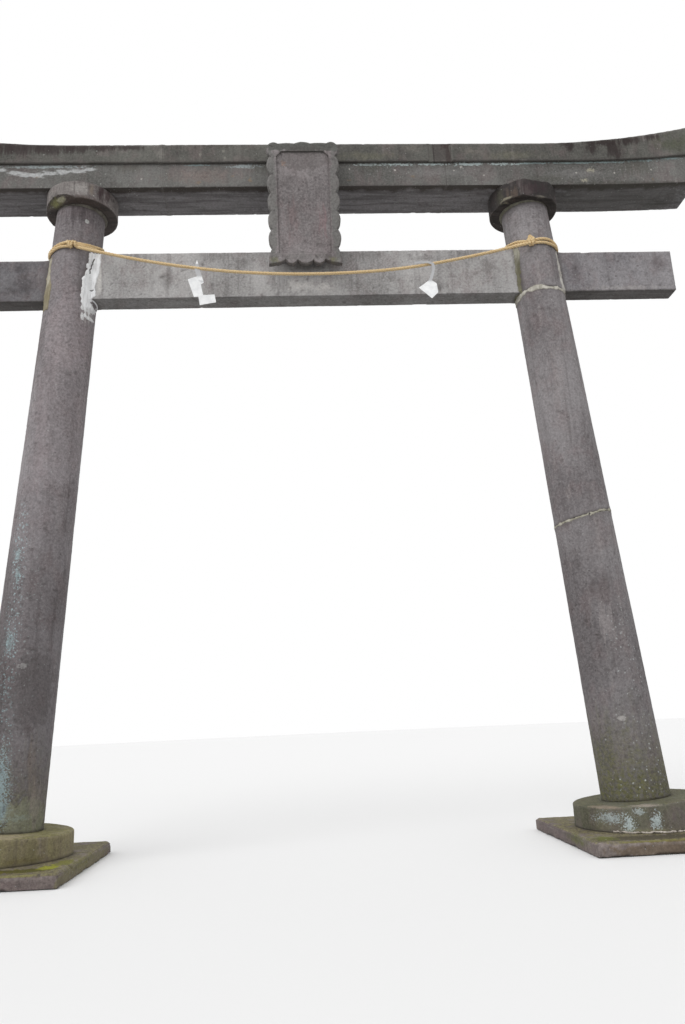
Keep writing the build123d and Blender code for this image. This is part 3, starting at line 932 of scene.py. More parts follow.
def collarMortar(node):
    # the collar below a cap, with a trowelled, lumpy face
    net = weldedSolid(node)
    for _ in range(12):
        long = [edge for edge in net.edges if edge.calc_length() > collarLook["grain"]]
        if not long:
            break
        bmesh.ops.subdivide_edges(net, edges=long, cuts=1)
        bmesh.ops.triangulate(net, faces=[face for face in net.faces if len(face.verts) > 3])
    net.normal_update()
    for vert in net.verts:
        lump = lumps(vert.co.x, vert.co.y, 3) - collarLook["level"]
        vert.co += vert.normal * collarLook["lump"] * lump
    return net


footMortar = {
    "turns": (-44, 130, 0.7),  # degrees round the drum from its front: first, last and step
    "radius": 0.3655,
    "height": 0.0790,
    "wander": 0.0060,
    "thick": 0.0056,
    "tones": ("footMortar", "a79f97", "cbc3ba", "857c73"),
}


def footMortarRing(node):
    # squeezed out between the drum and the plinth, thick and thin in turn
    low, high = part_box(node)
    net = bmesh.new()
    points, radii = [], []
    for degrees in np.arange(*footMortar["turns"]):
        angle = math.radians(degrees)
        wave = noise.fractal(Vector((degrees * 0.16, 3.3, 0)), 0.9, 2.0, 4)
        lump = noise.fractal(Vector((degrees * 0.35, 8.1, 0)), 0.9, 2.0, 3)
        reach = footMortar["radius"] + 0.003 * wave
        x = (low[0] + high[0]) / 2 + math.sin(angle) * reach
        y = (low[1] + high[1]) / 2 - math.cos(angle) * reach
        points.append((x, y, footMortar["height"] + footMortar["wander"] * max(0.0, wave + 0.2)))
        radii.append(footMortar["thick"] * max(0.15, 0.75 + 1.1 * lump))
    tube(net, np.array(points), radii, 8)
    for vert in net.verts:
        vert.co.z = max(vert.co.z + 0.0012 * lumps(vert.co.x * 3, vert.co.y * 3, 5), low[2] - 0.0005)
    return net


# Paper streamers

paper = {
    "layer": 0.0012,  # between one panel and the next
    "grain": 0.008,
    "thickness": 0.0008,
    "waveScale": 14,
    "wave": 0.0025,
    "creases": (70, 55),  # how close they lie along x and z
    "crease": 0.0012,
}


def stripPanels(upper, lower):
    # a narrow strip as panels between its two edges
    return [[upper[k], upper[k + 1], lower[k + 1], lower[k]] for k in range(len(upper) - 1)]


# Each panel is an outline of (x, y, z); the narrow upper strips pass through the lay of the rope
streamers = {
    "left": {
        "flat": (0.105, 0.34),
        "panels": [
            [(-0.756, -0.186, 3.676), (-0.722, -0.187, 3.672), (-0.737, -0.19, 3.728)],
            [
                (-0.758, -0.19, 3.676), (-0.724, -0.187, 3.672), (-0.694, -0.192, 3.566),
                (-0.728, -0.197, 3.574),
            ],
            [
                (-0.795, -0.205, 3.574), (-0.717, -0.19, 3.612), (-0.692, -0.187, 3.56),
                (-0.712, -0.19, 3.546), (-0.695, -0.194, 3.456), (-0.754, -0.203, 3.446),
            ],
            [
                (-0.727, -0.202, 3.458), (-0.622, -0.19, 3.469), (-0.613, -0.188, 3.412),
                (-0.717, -0.198, 3.388),
            ],
        ],
    },
    "right": {
        "flat": (0.125, 0.2),
        "panels": stripPanels(
            [
                (0.706, -0.2, 3.684), (0.748, -0.203, 3.69), (0.8, -0.206, 3.688), (0.838, -0.206, 3.672),
                (0.842, -0.203, 3.634), (0.832, -0.199, 3.59), (0.815, -0.196, 3.54),
            ],
            [
                (0.71, -0.199, 3.672), (0.75, -0.201, 3.676), (0.796, -0.203, 3.672), (0.822, -0.203, 3.66),
                (0.824, -0.2, 3.632), (0.814, -0.197, 3.594), (0.795, -0.194, 3.548),
            ],
        ) + [[
            (0.722, -0.206, 3.486), (0.806, -0.192, 3.555), (0.828, -0.194, 3.536), (0.845, -0.198, 3.522),
            (0.85, -0.203, 3.452), (0.804, -0.21, 3.404),
        ]],
    },
}


def outlineArea(points):
    # area of a flat outline in space
    total = Vector((0, 0, 0))
    for first, second in zip(points, points[1:] + points[:1]):
        total += Vector(first).cross(Vector(second))
    return total.length / 2


def makeStreamer(name, panels):
    net = bmesh.new()
    for layer, outline in enumerate(panels):
        net.faces.new([net.verts.new((x, y - paper["layer"] * layer, z)) for x, y, z in outline])
    split = {"quad_method": "SHORT_EDGE", "ngon_method": "EAR_CLIP"}
    bmesh.ops.triangulate(net, faces=net.faces, **split)
    for _ in range(6):
        long = [edge for edge in net.edges if edge.calc_length() > paper["grain"]]
        bmesh.ops.subdivide_edges(net, edges=long, cuts=1)
        bmesh.ops.triangulate(net, faces=net.faces, **split)
    for vert in net.verts:
        across, down = paper["creases"]
        ridge = (1 - abs(math.sin(vert.co.x * across + vert.co.z * down))) ** 6
        wave = noise.fractal(vert.co * paper["waveScale"], 0.9, 2.0, 2)
        vert.co.y += paper["wave"] * wave - paper["crease"] * ridge
    bmesh.ops.recalc_face_normals(net, faces=net.faces)
    bmesh.ops.solidify(net, geom=net.faces[:], thickness=paper["thickness"])
    return meshPiece(name, net)


# Looks of the stones

# The look of a stone where its own settings say nothing else
plainStone = {
    "tint": "7d6c6c",
    "tintAmount": 0.35,
    "fleckAmount": 0.35,
    "mottle": 0.17,
    "blotches": 0.3,
    "streaks": 0.25,
    "paleStreaks": 0.15,
    "stain": "4a4443",
    "edge": "a39d9a",
    "patches": [],
    # painted shade on faces that look down: its dark and light tone, and how much of it
    "underDark": "3c3933",
    "underLight": "5c5a56",
    "underAmount": 0.6,
    "frontBand": None,  # painted shade in a band along an underside: y where it ends and starts, colour, amount
    "ledge": 0.0,  # moss on faces that look up
    "moss": None,  # heights between which it ends, and amount
    "mossDark": "4a4a2e",
    "mossLight": "6b6a44",
    "specks": 0.10,
    "speckColour": "b9bdb8",
    "speckAmount": 0.6,
    "wornAmount": 0.3,
    "sunkAmount": 0.5,
    "holes": 0.45,
    "pocks": 0.22,
    "seamColour": "45403c",
    "seamAmount": 0.55,
    "fade": None,  # painted shade by height: two heights, and how bright the stone is at each
    "bump": 0.004,
    "relief": (0.6, 0.35, 0.5, 0.3),  # share of fine noise, grit, holes and lichen in the bump
    "grain": 0.012,
    "soften": 2,
    "round": 0.4,
    "chipReach": 8,
    "chipScale": 9.0,
    "chipFrom": 0.55,
    "swell": 0.0020,
    "dress": 0.0012,
    "pitScale": 34,
    "pitFrom": 0.42,
    "pitDepth": 0.006,
    "breaks": [],  # middle, direction that it faces, reach
    "closed": (),  # places along X where its end runs a little into the next stone
    "filled": None,  # box that it is drawn out to fill
}


def stoneLook(dark, light, **changes):
    return {**plainStone, "dark": dark, "light": light, **changes}


# Noises that a stone's colours share: scale, detail, roughness, stretch
stoneNoises = {
    "broad": (1.7, 3, 0.6, (1, 1, 0.6)),
    "middle": (9, 4, 0.6, (1, 1, 0.7)),
    "blotch": (4.5, 5, 0.68),
    "tuft": (45, 4, 0.7),
    "fine": (70, 3, 0.7),
    "grit": (300, 2, 0.6),
    "streak": (1, 4, 0.6, (26, 26, 1.3)),
    "lines": (1, 4, 0.6, (3, 30, 30)),
}
# Levels of a noise, or of a normal, between which a mark sets in, and what it then rises from and to
stoneLevels = {
    "light": (0.38, 0.62),
    "tint": (0.45, 0.68),
    "fleck": (0.35, 0.65),
    "blotch": (0.56, 0.70),
    "streak": (0.5, 0.72),
    "paleStreak": (0.46, 0.30),
    "patchy": (0.4, 0.6),
    # the next two: faces that look down, which get painted shade, and the streaks in it
    "under": (-0.35, -0.8),
    "grime": (0.35, 0.62),
    "upward": (0.45, 0.85),
    "ledge": (0.36, 0.52),
    "tuft": (0.35, 0.6),
    "mossTone": (0.3, 0.6, 0.4, 1),
    "hole": (0.2, 0.06),
    "dirt": (0.3, 0.6),
    "gritShade": (0.3, 0.7, 0.92, 1.08),
    "roughness": (0.3, 0.7, 0.82, 0.96),
}
# Cells a metre of the spots and holes, and their size in a cell
stoneSpots = {"lichen": (70, 0.24), "largeLichen": (31, 0.19), "pocks": (52, 0.26), "holes": 130}


class StoneBoard(Surface):
    # a material's shader with the noises of stone at hand
    def __init__(self, name, look):
        super().__init__(name)
        self.look = look
        self.noises = {key: self.noise(*setting) for key, setting in stoneNoises.items()}

    def level(self, value, key):
        noise = self.noises[value] if isinstance(value, str) else value
        return self.rise(noise, *stoneLevels[key])

    def tinted(self, colour, amount, shareKey, colourKey):
        # the look says how much of the mark shows, and in which colour
        return self.mix(amount * self.look[shareKey], colour, self.look[colourKey])


def bareStone(board, look):
    # the stone's own colours, its weather streaks, and painted shade on its downward faces
    colour = board.mix(board.level("broad", "light"), look["dark"], look["light"])
    colour = board.tinted(colour, board.level("middle", "tint"), "tintAmount", "tint")
    colour = board.tinted(colour, board.level("fine", "fleck"), "fleckAmount", "light")
    colour = board.tinted(colour, board.level("blotch", "blotch"), "blotches", "stain")
    colour = board.tinted(colour, board.level("streak", "streak"), "streaks", "stain")
    pale = board.level("streak", "paleStreak") * board.level("middle", "patchy")
    colour = board.tinted(colour, pale, "paleStreaks", "edge")
    # downward faces take a darker, streaky tone: painted shade
    under = board.level(board.upward, "under")
    grime = board.mix(board.level("lines", "grime"), look["underDark"], look["underLight"])
    colour = board.mix(under * look["underAmount"], colour, grime)
    # a darker band along the front of the underside: more painted shade
    if look["frontBand"]:
        back, front, band, amount = look["frontBand"]
        along = board.rise(board.y + (board.noises["middle"] - 0.5) * 0.12, back, front) * under
        colour = board.mix(along * amount, colour, band)
    return colour


def mossyStone(board, look, colour):
    # moss on ledges and from the foot up
    tuft = board.level("tuft", "tuft")
    moss = board.mix(tuft * board.level("fine", "mossTone"), look["mossDark"], look["mossLight"])
    if look["ledge"]:
        upward = board.level(board.upward, "upward")
        colour = board.mix(upward * (board.level("middle", "ledge") * look["ledge"]), colour, moss)
    if look["moss"]:
        low, high, amount = look["moss"]
        wander = (board.noises["middle"] - 0.5) * 0.5, (board.noises["streak"] - 0.5) * 0.6
        reach = board.rise(board.z + wander[0] + wander[1], high, low)
        colour = board.mix(reach * (0.5 + tuft * 0.5) * amount, colour, moss)
    return colour


def wornColour(board, look, colour):
    # worn edges are pale, and hollows and joints are dark
    colour = board.tinted(colour, board.attribute("worn"), "wornAmount", "edge")
    colour = board.tinted(colour, board.attribute("sunk"), "sunkAmount", "stain")
    dirt = board.level("fine", "dirt") * look["seamAmount"]
    return board.mix(board.attribute("seam") * dirt, colour, look["seamColour"])


def shaded(board, look, colour):
    # fine mottling, and painted shade by height that darkens the stone towards its foot
    shade = board.rise(board.noises["fine"], 0.3, 0.7, 1 - look["mottle"], 1 + look["mottle"])
    shade = shade * board.level("grit", "gritShade")
    if look["fade"]:
        shade = shade * board.rise(board.z, *look["fade"])
    grey = board.node("CombineXYZ", {}, {0: shade, 1: shade, 2: shade})
    return board.mix(1.0, colour, grey, "MULTIPLY")


def stoneMaterial(name, look):
    board = StoneBoard(name, look)
    colour = mossyStone(board, look, bareStone(board, look))
    for centre, size, stain, amount, kind in look["patches"]:
        colour = board.mix(board.patch(centre, size, kind) * amount, colour, stain)
    large = board.spots(*stoneSpots["largeLichen"], look["specks"] * 0.4)
    lichen = board.spots(*stoneSpots["lichen"], look["specks"]).most(large)
    colour = board.tinted(colour, lichen, "speckAmount", "speckColour")
    holes = board.level(board.cells(stoneSpots["holes"]), "hole") * board.level("middle", "patchy")
    holes = holes.most(board.spots(*stoneSpots["pocks"], look["pocks"]))
    colour = board.tinted(colour, holes, "holes", "stain")
    colour = shaded(board, look, wornColour(board, look, colour))
    parts = [board.noises["fine"], board.noises["grit"], holes, lichen]
    fine, grit, sunk, raised = [part * share for part, share in zip(parts, look["relief"])]
    return board.finish(colour, board.level("fine", "roughness"), fine + grit - sunk + raised, look["bump"])


def stainRow(y, depth, colour, amount, kind, spots):
    # stains on one face, given as x, z and half sizes
    return [((x, y, z), (wide, depth, tall), colour, amount, kind) for x, z, wide, tall in spots]


topFront = -0.177  # y of the front face of each stone
lowFront = -0.157
tieFront = -0.073
endFront = -0.064
topLintelStains = (
    stainRow(topFront, 0.06, "352c2b", 0.8, "drip", [
        (-2.78, 4.67, 0.16, 0.1), (-2.5, 4.65, 0.16, 0.09), (-2.24, 4.63, 0.16, 0.085),
        (-2, 4.62, 0.15, 0.075), (-1.8, 4.63, 0.14, 0.06), (-1.62, 4.64, 0.12, 0.05),
        (-1.45, 4.65, 0.12, 0.04), (-1.28, 4.655, 0.12, 0.035), (-1.1, 4.66, 0.12, 0.025),
        (1.85, 4.65, 0.1, 0.04), (2.35, 4.665, 0.13, 0.045), (2.5, 4.69, 0.1, 0.035),
    ])
    + stainRow(topFront, 0.06, "38302f", 0.8, "run", [
        (-2.12, 4.63, 0.15, 0.085), (-1.93, 4.622, 0.15, 0.08), (-1.74, 4.618, 0.13, 0.07),
        (-1.57, 4.62, 0.13, 0.062), (-1.38, 4.62, 0.13, 0.048), (-1.2, 4.622, 0.14, 0.04),
    ])
    + stainRow(topFront, 0.06, "2f2726", 0.9, "run", [
        (1.885, 4.625, 0.045, 0.075), (2.045, 4.615, 0.06, 0.085), (2.205, 4.59, 0.075, 0.105),
        (2.14, 4.645, 0.14, 0.035), (2.3, 4.66, 0.05, 0.05),
    ])
    + stainRow(topFront, 0.3, "4b4f3e", 0.7, "cloud", [(2.66, 4.63, 0.2, 0.12), (-2.68, 4.6, 0.14, 0.08)])
    + stainRow(topFront, 0.05, "8c8983", 0.45, "cloud", [(-0.99, 4.555, 0.045, 0.08)])
    + stainRow(topFront, 0.05, "6c6a5c", 0.6, "cloud", [(0.42, 4.54, 0.3, 0.05), (1.45, 4.54, 0.25, 0.05)])
    + stainRow(topFront, 0.05, "7a746d", 0.5, "cloud", [(1.16, 4.58, 0.1, 0.05), (0.75, 4.6, 0.1, 0.05)])
    + stainRow(topFront, 0.05, "4f4844", 0.6, "drip", [
        (-0.62, 4.64, 0.16, 0.035), (-0.35, 4.65, 0.12, 0.03), (0.5, 4.655, 0.2, 0.03),
        (1.4, 4.655, 0.25, 0.03),
    ])
    + stainRow(topFront, 0.05, "8d8a82", 0.5, "speck", [
        (-0.72, 4.56, 0.01, 0.016), (-0.56, 4.585, 0.012, 0.01), (-0.55, 4.53, 0.009, 0.012),
    ])
)
blockStains = [
    ((0.88, -0.175, 4.58), (0.024, 0.05, 0.3), "5f5e59", 0.9, "coat"),
    ((0.906, -0.175, 4.58), (0.0045, 0.05, 0.2), "2c2725", 0.8, "coat"),
    ((0.95, -0.175, 4.6), (0.06, 0.05, 0.12), "4b4644", 0.5, "coat"),
    ((0.995, -0.175, 4.63), (0.044, 0.05, 0.055), "3b2e2d", 0.9, "run"),
    ((1.008, -0.175, 4.56), (0.022, 0.05, 0.11), "3d3432", 0.75, "run"),
]
lowLintelStains = (
    stainRow(lowFront, 0.05, "b4b5b5", 0.85, "vein", [
        (-2.14, 4.47, 0.06, 0.014), (-2.06, 4.458, 0.06, 0.017), (-1.97, 4.436, 0.07, 0.019),
        (-1.89, 4.418, 0.06, 0.02), (-1.82, 4.414, 0.06, 0.021), (-1.74, 4.432, 0.07, 0.023),
        (-1.65, 4.44, 0.07, 0.024), (-1.56, 4.446, 0.07, 0.021), (-1.48, 4.458, 0.06, 0.016),
    ])
    + stainRow(lowFront, 0.05, "a3adae", 0.8, "crust", [
        (-1.78, 4.481, 0.3, 0.01), (-0.42, 4.477, 0.1, 0.018),
    ])
    + stainRow(lowFront, 0.05, "b3c0bf", 0.9, "crust", [
        (0.46, 4.484, 0.12, 0.01), (0.66, 4.484, 0.14, 0.011), (0.9, 4.485, 0.12, 0.01),
        (1.15, 4.484, 0.16, 0.011), (1.4, 4.484, 0.12, 0.01),
    ])
    + stainRow(lowFront, 0.05, "8fa3a3", 0.75, "crust", [
        (1.62, 4.488, 0.12, 0.007), (1.9, 4.49, 0.2, 0.007), (2.16, 4.494, 0.16, 0.007),
        (2.4, 4.506, 0.14, 0.008), (2.6, 4.524, 0.12, 0.009), (-0.75, 4.487, 0.12, 0.006),
    ])
    + stainRow(lowFront, 0.05, "857058", 0.5, "crust", [
        (-1.819, 4.401, 0.014, 0.008), (-0.73, 4.35, 0.02, 0.012), (-0.381, 4.366, 0.012, 0.02),
        (0.751, 4.389, 0.015, 0.013), (0.3, 4.36, 0.014, 0.007), (-0.5, 4.4, 0.014, 0.008),
        (2.462, 4.352, 0.007, 0.014),
    ])
    + stainRow(lowFront, 0.05, "a7a291", 0.7, "crust", [(1.97, 4.347, 0.03, 0.016), (2.02, 4.43, 0.03, 0.02)])
    + stainRow(lowFront, 0.05, "bdb9b3", 0.7, "speck", [
        (1.096, 4.462, 0.012, 0.009), (1.043, 4.432, 0.007, 0.006), (1.253, 4.394, 0.008, 0.006),
        (1.916, 4.409, 0.008, 0.008), (2.19, 4.405, 0.007, 0.007), (0.628, 4.439, 0.008, 0.008),
        (2.46, 4.43, 0.007, 0.007), (0.31, 4.45, 0.006, 0.006), (-1.12, 4.38, 0.008, 0.006),
    ])
    + stainRow(lowFront, 0.06, "7f726d", 0.6, "cloud", [(-0.723, 4.401, 0.32, 0.09)])
    + stainRow(lowFront, 0.06, "838180", 0.45, "cloud", [(0.95, 4.42, 0.35, 0.05), (1.9, 4.4, 0.3, 0.05)])
    + stainRow(lowFront, 0.06, "53524b", 0.5, "drip", [
        (-2.3, 4.45, 0.16, 0.07), (-1.2, 4.47, 0.12, 0.05), (-0.3, 4.46, 0.1, 0.06), (0.45, 4.47, 0.12, 0.05),
        (2.35, 4.46, 0.16, 0.08), (1.7, 4.36, 0.2, 0.05),
    ])
    + [
        # darker patches on the underside near the right end: painted shade
        ((2.603, 0.058, 4.311), (0.2, 0.14, 0.05), "2e2b29", 0.5, "cloud"),
        ((2.3, 0, 4.311), (0.6, 0.25, 0.04), "3f3e37", 0.5, "coat"),
    ]
)
tieStains = (
    stainRow(tieFront, 0.05, "c3c0bd", 0.8, "cloud", [(-0.06, 3.6, 0.13, 0.06), (0.1, 3.585, 0.08, 0.05)])
    + stainRow(tieFront, 0.05, "c6c3bf", 0.85, "drip", [(-1.4, 3.7, 0.022, 0.17)])
    + stainRow(tieFront, 0.05, "625e5c", 0.45, "cloud", [
        # the first of these, behind and under the plaque's foot, is partly stain and partly painted shadow of
        # the plaque
        (0.001, 3.74, 0.21, 0.045), (-0.95, 3.66, 0.05, 0.12), (0.806, 3.792, 0.12, 0.035),
        (0.572, 3.648, 0.05, 0.05), (1.237, 3.735, 0.06, 0.08), (-0.45, 3.77, 0.1, 0.06),
    ])
    + stainRow(tieFront, 0.05, "6f6c6b", 0.5, "drip", [
        (-1.15, 3.82, 0.14, 0.06), (-0.62, 3.83, 0.13, 0.05), (0.42, 3.82, 0.14, 0.06),
        (1.1, 3.82, 0.14, 0.05), (-0.2, 3.6, 0.08, 0.08), (0.85, 3.58, 0.14, 0.05),
    ])
)
tieLeftStains = stainRow(endFront, 0.05, "474345", 0.6, "cloud", [
    (-1.905, 3.617, 0.14, 0.085), (-1.929, 3.76, 0.065, 0.045), (-2.2, 3.68, 0.1, 0.05),
    (-2.42, 3.6, 0.09, 0.06),
])
tieRightStains = (
    stainRow(endFront, 0.05, "564f51", 0.7, "speck", [
        (2.165, 3.759, 0.009, 0.007), (2.101, 3.712, 0.01, 0.006), (2.135, 3.641, 0.008, 0.006),
        (2.3, 3.72, 0.01, 0.005), (1.95, 3.66, 0.006, 0.008), (2.28, 3.79, 0.008, 0.006),
    ])
    + stainRow(endFront, 0.05, "5d5658", 0.5, "cloud", [(1.86, 3.7, 0.06, 0.12), (2.46, 3.74, 0.08, 0.08)])
    + stainRow(endFront, 0.05, "a29d9b", 0.4, "drip", [(2.158, 3.552, 0.39, 0.022)])
)
pillarLeftStains = [
    ((-1.738, -0.188, 1), (0.16, 0.12, 0.95), "a9b1b0", 0.75, "dots"),
    ((-1.785, -0.176, 1.8), (0.055, 0.1, 0.34), "afc6ca", 0.9, "dust"),
    ((-1.8, -0.182, 1.28), (0.07, 0.1, 0.36), "afc6ca", 0.9, "dust"),
    ((-1.815, -0.19, 0.8), (0.075, 0.1, 0.38), "a8c0c4", 0.75, "dust"),
    ((-1.805, -0.191, 0.46), (0.05, 0.06, 0.19), "a6bbbf", 0.8, "flecks"),
    ((-1.785, -0.18, 0.34), (0.04, 0.06, 0.07), "9db0b3", 0.7, "crust"),
    ((-1.7, -0.17, 0.3), (0.055, 0.06, 0.022), "a2b4b5", 0.7, "flecks"),
    ((-1.9, -0.175, 0.42), (0.05, 0.06, 0.13), "a9b8b9", 0.7, "flecks"),
    ((-1.65, -0.13, 0.28), (0.16, 0.14, 0.14), "9a9c84", 0.62, "coat"),
    ((-1.55, -0.15, 2.7), (0.22, 0.16, 0.58), "a59d9f", 0.25, "coat"),
    ((-1.53, -0.15, 3.25), (0.2, 0.16, 0.3), "aba0a2", 0.28, "coat"),
    ((-1.792, -0.17, 1.78), (0.018, 0.05, 0.04), "a6bdc0", 0.5, "flecks"),
    ((-1.785, -0.175, 1.65), (0.02, 0.05, 0.05), "a6bdc0", 0.5, "flecks"),
    ((-1.806, -0.18, 1.26), (0.028, 0.05, 0.07), "a6bdc0", 0.5, "flecks"),
    ((-1.66, -0.16, 0.98), (0.16, 0.14, 0.24), "5d5655", 0.45, "coat"),
    ((-1.655, -0.14, 0.55), (0.03, 0.08, 0.22), "8d8177", 0.6, "drip"),
    ((-1.723, -0.186, 1.123), (0.03, 0.03, 0.016), "b0adac", 0.7, "speck"),
    ((-1.638, -0.095, 0.36), (0.043, 0.154, 0.151), "a79d96", 0.4, "drip"),
    ((-1.48, -0.137, 4.065), (0.016, 0.016, 0.016), "cfd0cd", 0.8, "speck"),
    ((-1.52, -0.16, 4.1), (0.16, 0.12, 0.09), "453e40", 0.6, "drip"),
    ((-1.463, -0.083, 3.411), (0.035, 0.1, 0.085), "b7b4b0", 0.55, "drip"),
    ((-1.7, -0.16, 2.6), (0.05, 0.1, 0.7), "8d8385", 0.35, "drip"),
    ((-1.86, -0.16, 1.2), (0.06, 0.1, 0.6), "56504f", 0.35, "drip"),
]
pillarRightStains = [
    ((1.49, -0.16, 4.02), (0.16, 0.16, 0.14), "a8a4a5", 0.2, "coat"),
    ((1.711, -0.183, 1.224), (0.065, 0.05, 0.152), "9d9695", 0.5, "drip"),
    ((1.734, -0.186, 1.481), (0.05, 0.04, 0.109), "625b5b", 0.5, "drip"),
    ((1.726, -0.183, 0.681), (0.026, 0.03, 0.016), "b5b1ae", 0.7, "speck"),
    ((1.913, -0.163, 0.454), (0.1, 0.09, 0.19), "cdd2d1", 0.95, "dots"),
    ((1.753, -0.188, 0.339), (0.17, 0.11, 0.1), "cdd2d1", 0.95, "dots"),
    ((1.8, -0.18, 0.95), (0.16, 0.12, 0.55), "b9bdbc", 0.7, "dots"),
    ((1.6, -0.12, 2.9), (0.05, 0.1, 0.5), "8f8786", 0.35, "drip"),
    ((1.7, -0.15, 1.9), (0.05, 0.1, 0.5), "5c5555", 0.3, "drip"),
]
capLeftStains = [
    ((-1.389, -0.175, 4.258), (0.036, 0.06, 0.1), "3b2e2f", 0.95, "run"),
    ((-1.345, -0.12, 4.27), (0.03, 0.06, 0.06), "4c4040", 0.8, "run"),
    ((-1.44, -0.19, 4.26), (0.022, 0.05, 0.05), "8c7d6c", 0.5, "cloud"),
    ((-1.69, -0.16, 4.19), (0.085, 0.07, 0.035), "8a8a5c", 0.9, "cloud"),
    ((-1.64, -0.19, 4.2), (0.05, 0.05, 0.015), "b1ae96", 0.7, "vein"),
    ((-1.52, -0.236, 4.25), (0.083, 0.05, 0.06), "a6a29e", 0.6, "drip"),
    ((-1.54, -0.2, 4.185), (0.22, 0.12, 0.022), "4b3f38", 0.6, "drip"),
]
capRightStains = [
    ((1.354, -0.134, 4.235), (0.038, 0.06, 0.097), "565547", 0.6, "cloud"),
    ((1.431, -0.206, 4.215), (0.05, 0.06, 0.06), "64564c", 0.6, "drip"),
    ((1.385, -0.16, 4.19), (0.05, 0.06, 0.014), "918b79", 0.7, "vein"),
    ((1.62, -0.22, 4.188), (0.06, 0.06, 0.01), "7b766c", 0.6, "vein"),
    ((1.592, -0.234, 4.245), (0.14, 0.09, 0.06), "392c2f", 0.7, "drip"),
]
plaqueStains = [
    ((-0.147, -0.294, 4.4), (0.018, 0.04, 0.024), "957662", 0.6, "crust"),
    ((-0.229, -0.182, 3.729), (0.041, 0.05, 0.031), "7b7a4c", 0.7, "cloud"),
    ((0.171, -0.181, 3.724), (0.041, 0.05, 0.031), "7b7a4c", 0.6, "cloud"),
    ((0.112, -0.22, 3.962), (0.046, 0.05, 0.173), "84686a", 0.5, "drip"),
    ((-0.102, -0.227, 3.998), (0.06, 0.05, 0.207), "806a6a", 0.4, "drip"),
    ((-0.018, -0.31, 4.52), (0.42, 0.14, 0.048), "545651", 0.85, "coat"),
    # the darker top of the panel is partly dirt and partly painted shade under its upper edge
    ((-0.018, -0.28, 4.43), (0.2, 0.14, 0.09), "5c5755", 0.45, "coat"),
    ((-0.235, -0.25, 4.1), (0.04, 0.2, 0.5), "6f706c", 0.6, "coat"),
    ((0.2, -0.25, 4.1), (0.04, 0.2, 0.5), "6f706c", 0.6, "coat"),
    ((-0.018, -0.21, 3.75), (0.3, 0.08, 0.045), "5f605b", 0.4, "cloud"),
]
drumRightStains = [
    ((1.56, -0.262, 0.15), (0.08, 0.11, 0.028), "a9b5b6", 0.65, "flecks"),
    ((1.774, -0.362, 0.138), (0.028, 0.05, 0.046), "b4c0c1", 0.8, "flecks"),
    ((1.635, -0.32, 0.115), (0.028, 0.05, 0.05), "b4c0c1", 0.8, "flecks"),
    ((1.69, -0.34, 0.19), (0.03, 0.05, 0.02), "b4bfbf", 0.6, "crust"),
    ((1.52, -0.23, 0.205), (0.12, 0.12, 0.01), "8d7f70", 0.7, "vein"),
    ((1.72, -0.34, 0.218), (0.12, 0.06, 0.008), "a0958c", 0.6, "vein"),
    ((1.52, -0.22, 0.1), (0.08, 0.12, 0.07), "66624c", 0.5, "cloud"),
    ((1.7, -0.34, 0.088), (0.25, 0.1, 0.014), "8f8c6c", 0.5, "cloud"),
    ((1.95, -0.33, 0.15), (0.15, 0.1, 0.08), "72666a", 0.5, "cloud"),
]
drumLeftStains = [
    ((-1.66, -0.31, 0.222), (0.28, 0.2, 0.01), "a0947c", 0.7, "vein"),
    ((-1.66, -0.33, 0.1), (0.3, 0.2, 0.03), "5a5232", 0.6, "cloud"),
    ((-1.53, -0.25, 0.13), (0.012, 0.05, 0.08), "a29d84", 0.6, "drip"),
    ((-1.5, -0.22, 0.13), (0.01, 0.05, 0.08), "37331f", 0.6, "drip"),
]
plinthStains = [
    ((1.8, -0.568, 0.072), (0.42, 0.035, 0.01), "6f6a38", 0.85, "coat"),
    ((-1.65, -0.568, 0.07), (0.35, 0.03, 0.008), "7b7842", 0.6, "vein"),
    ((1.8, -0.572, 0.03), (0.42, 0.03, 0.04), "62533f", 0.65, "coat"),
    # the darker top face of the right plinth before the drum is partly dirt and partly painted shade
    ((1.75, -0.46, 0.078), (0.42, 0.09, 0.02), "474133", 0.85, "coat"),
    ((-1.36, -0.1, 0.03), (0.03, 0.65, 0.05), "6f6a48", 0.65, "coat"),
    ((-1.6, -0.43, 0.076), (0.2, 0.065, 0.02), "4b4810", 0.95, "coat"),
    ((-1.85, -0.46, 0.076), (0.22, 0.06, 0.02), "5b5616", 0.95, "coat"),
    ((-1.47, -0.36, 0.076), (0.06, 0.08, 0.02), "8a8c26", 0.9, "coat"),
    ((-1.42, -0.24, 0.076), (0.05, 0.1, 0.02), "6d6d2c", 0.8, "coat"),
    ((1.45, -0.42, 0.076), (0.1, 0.14, 0.03), "62672c", 0.8, "cloud"),
    ((1.36, -0.25, 0.05), (0.03, 0.25, 0.04), "5c612e", 0.7, "cloud"),
    ((-1.37, -0.15, 0.05), (0.03, 0.4, 0.04), "6a6838", 0.7, "cloud"),
]
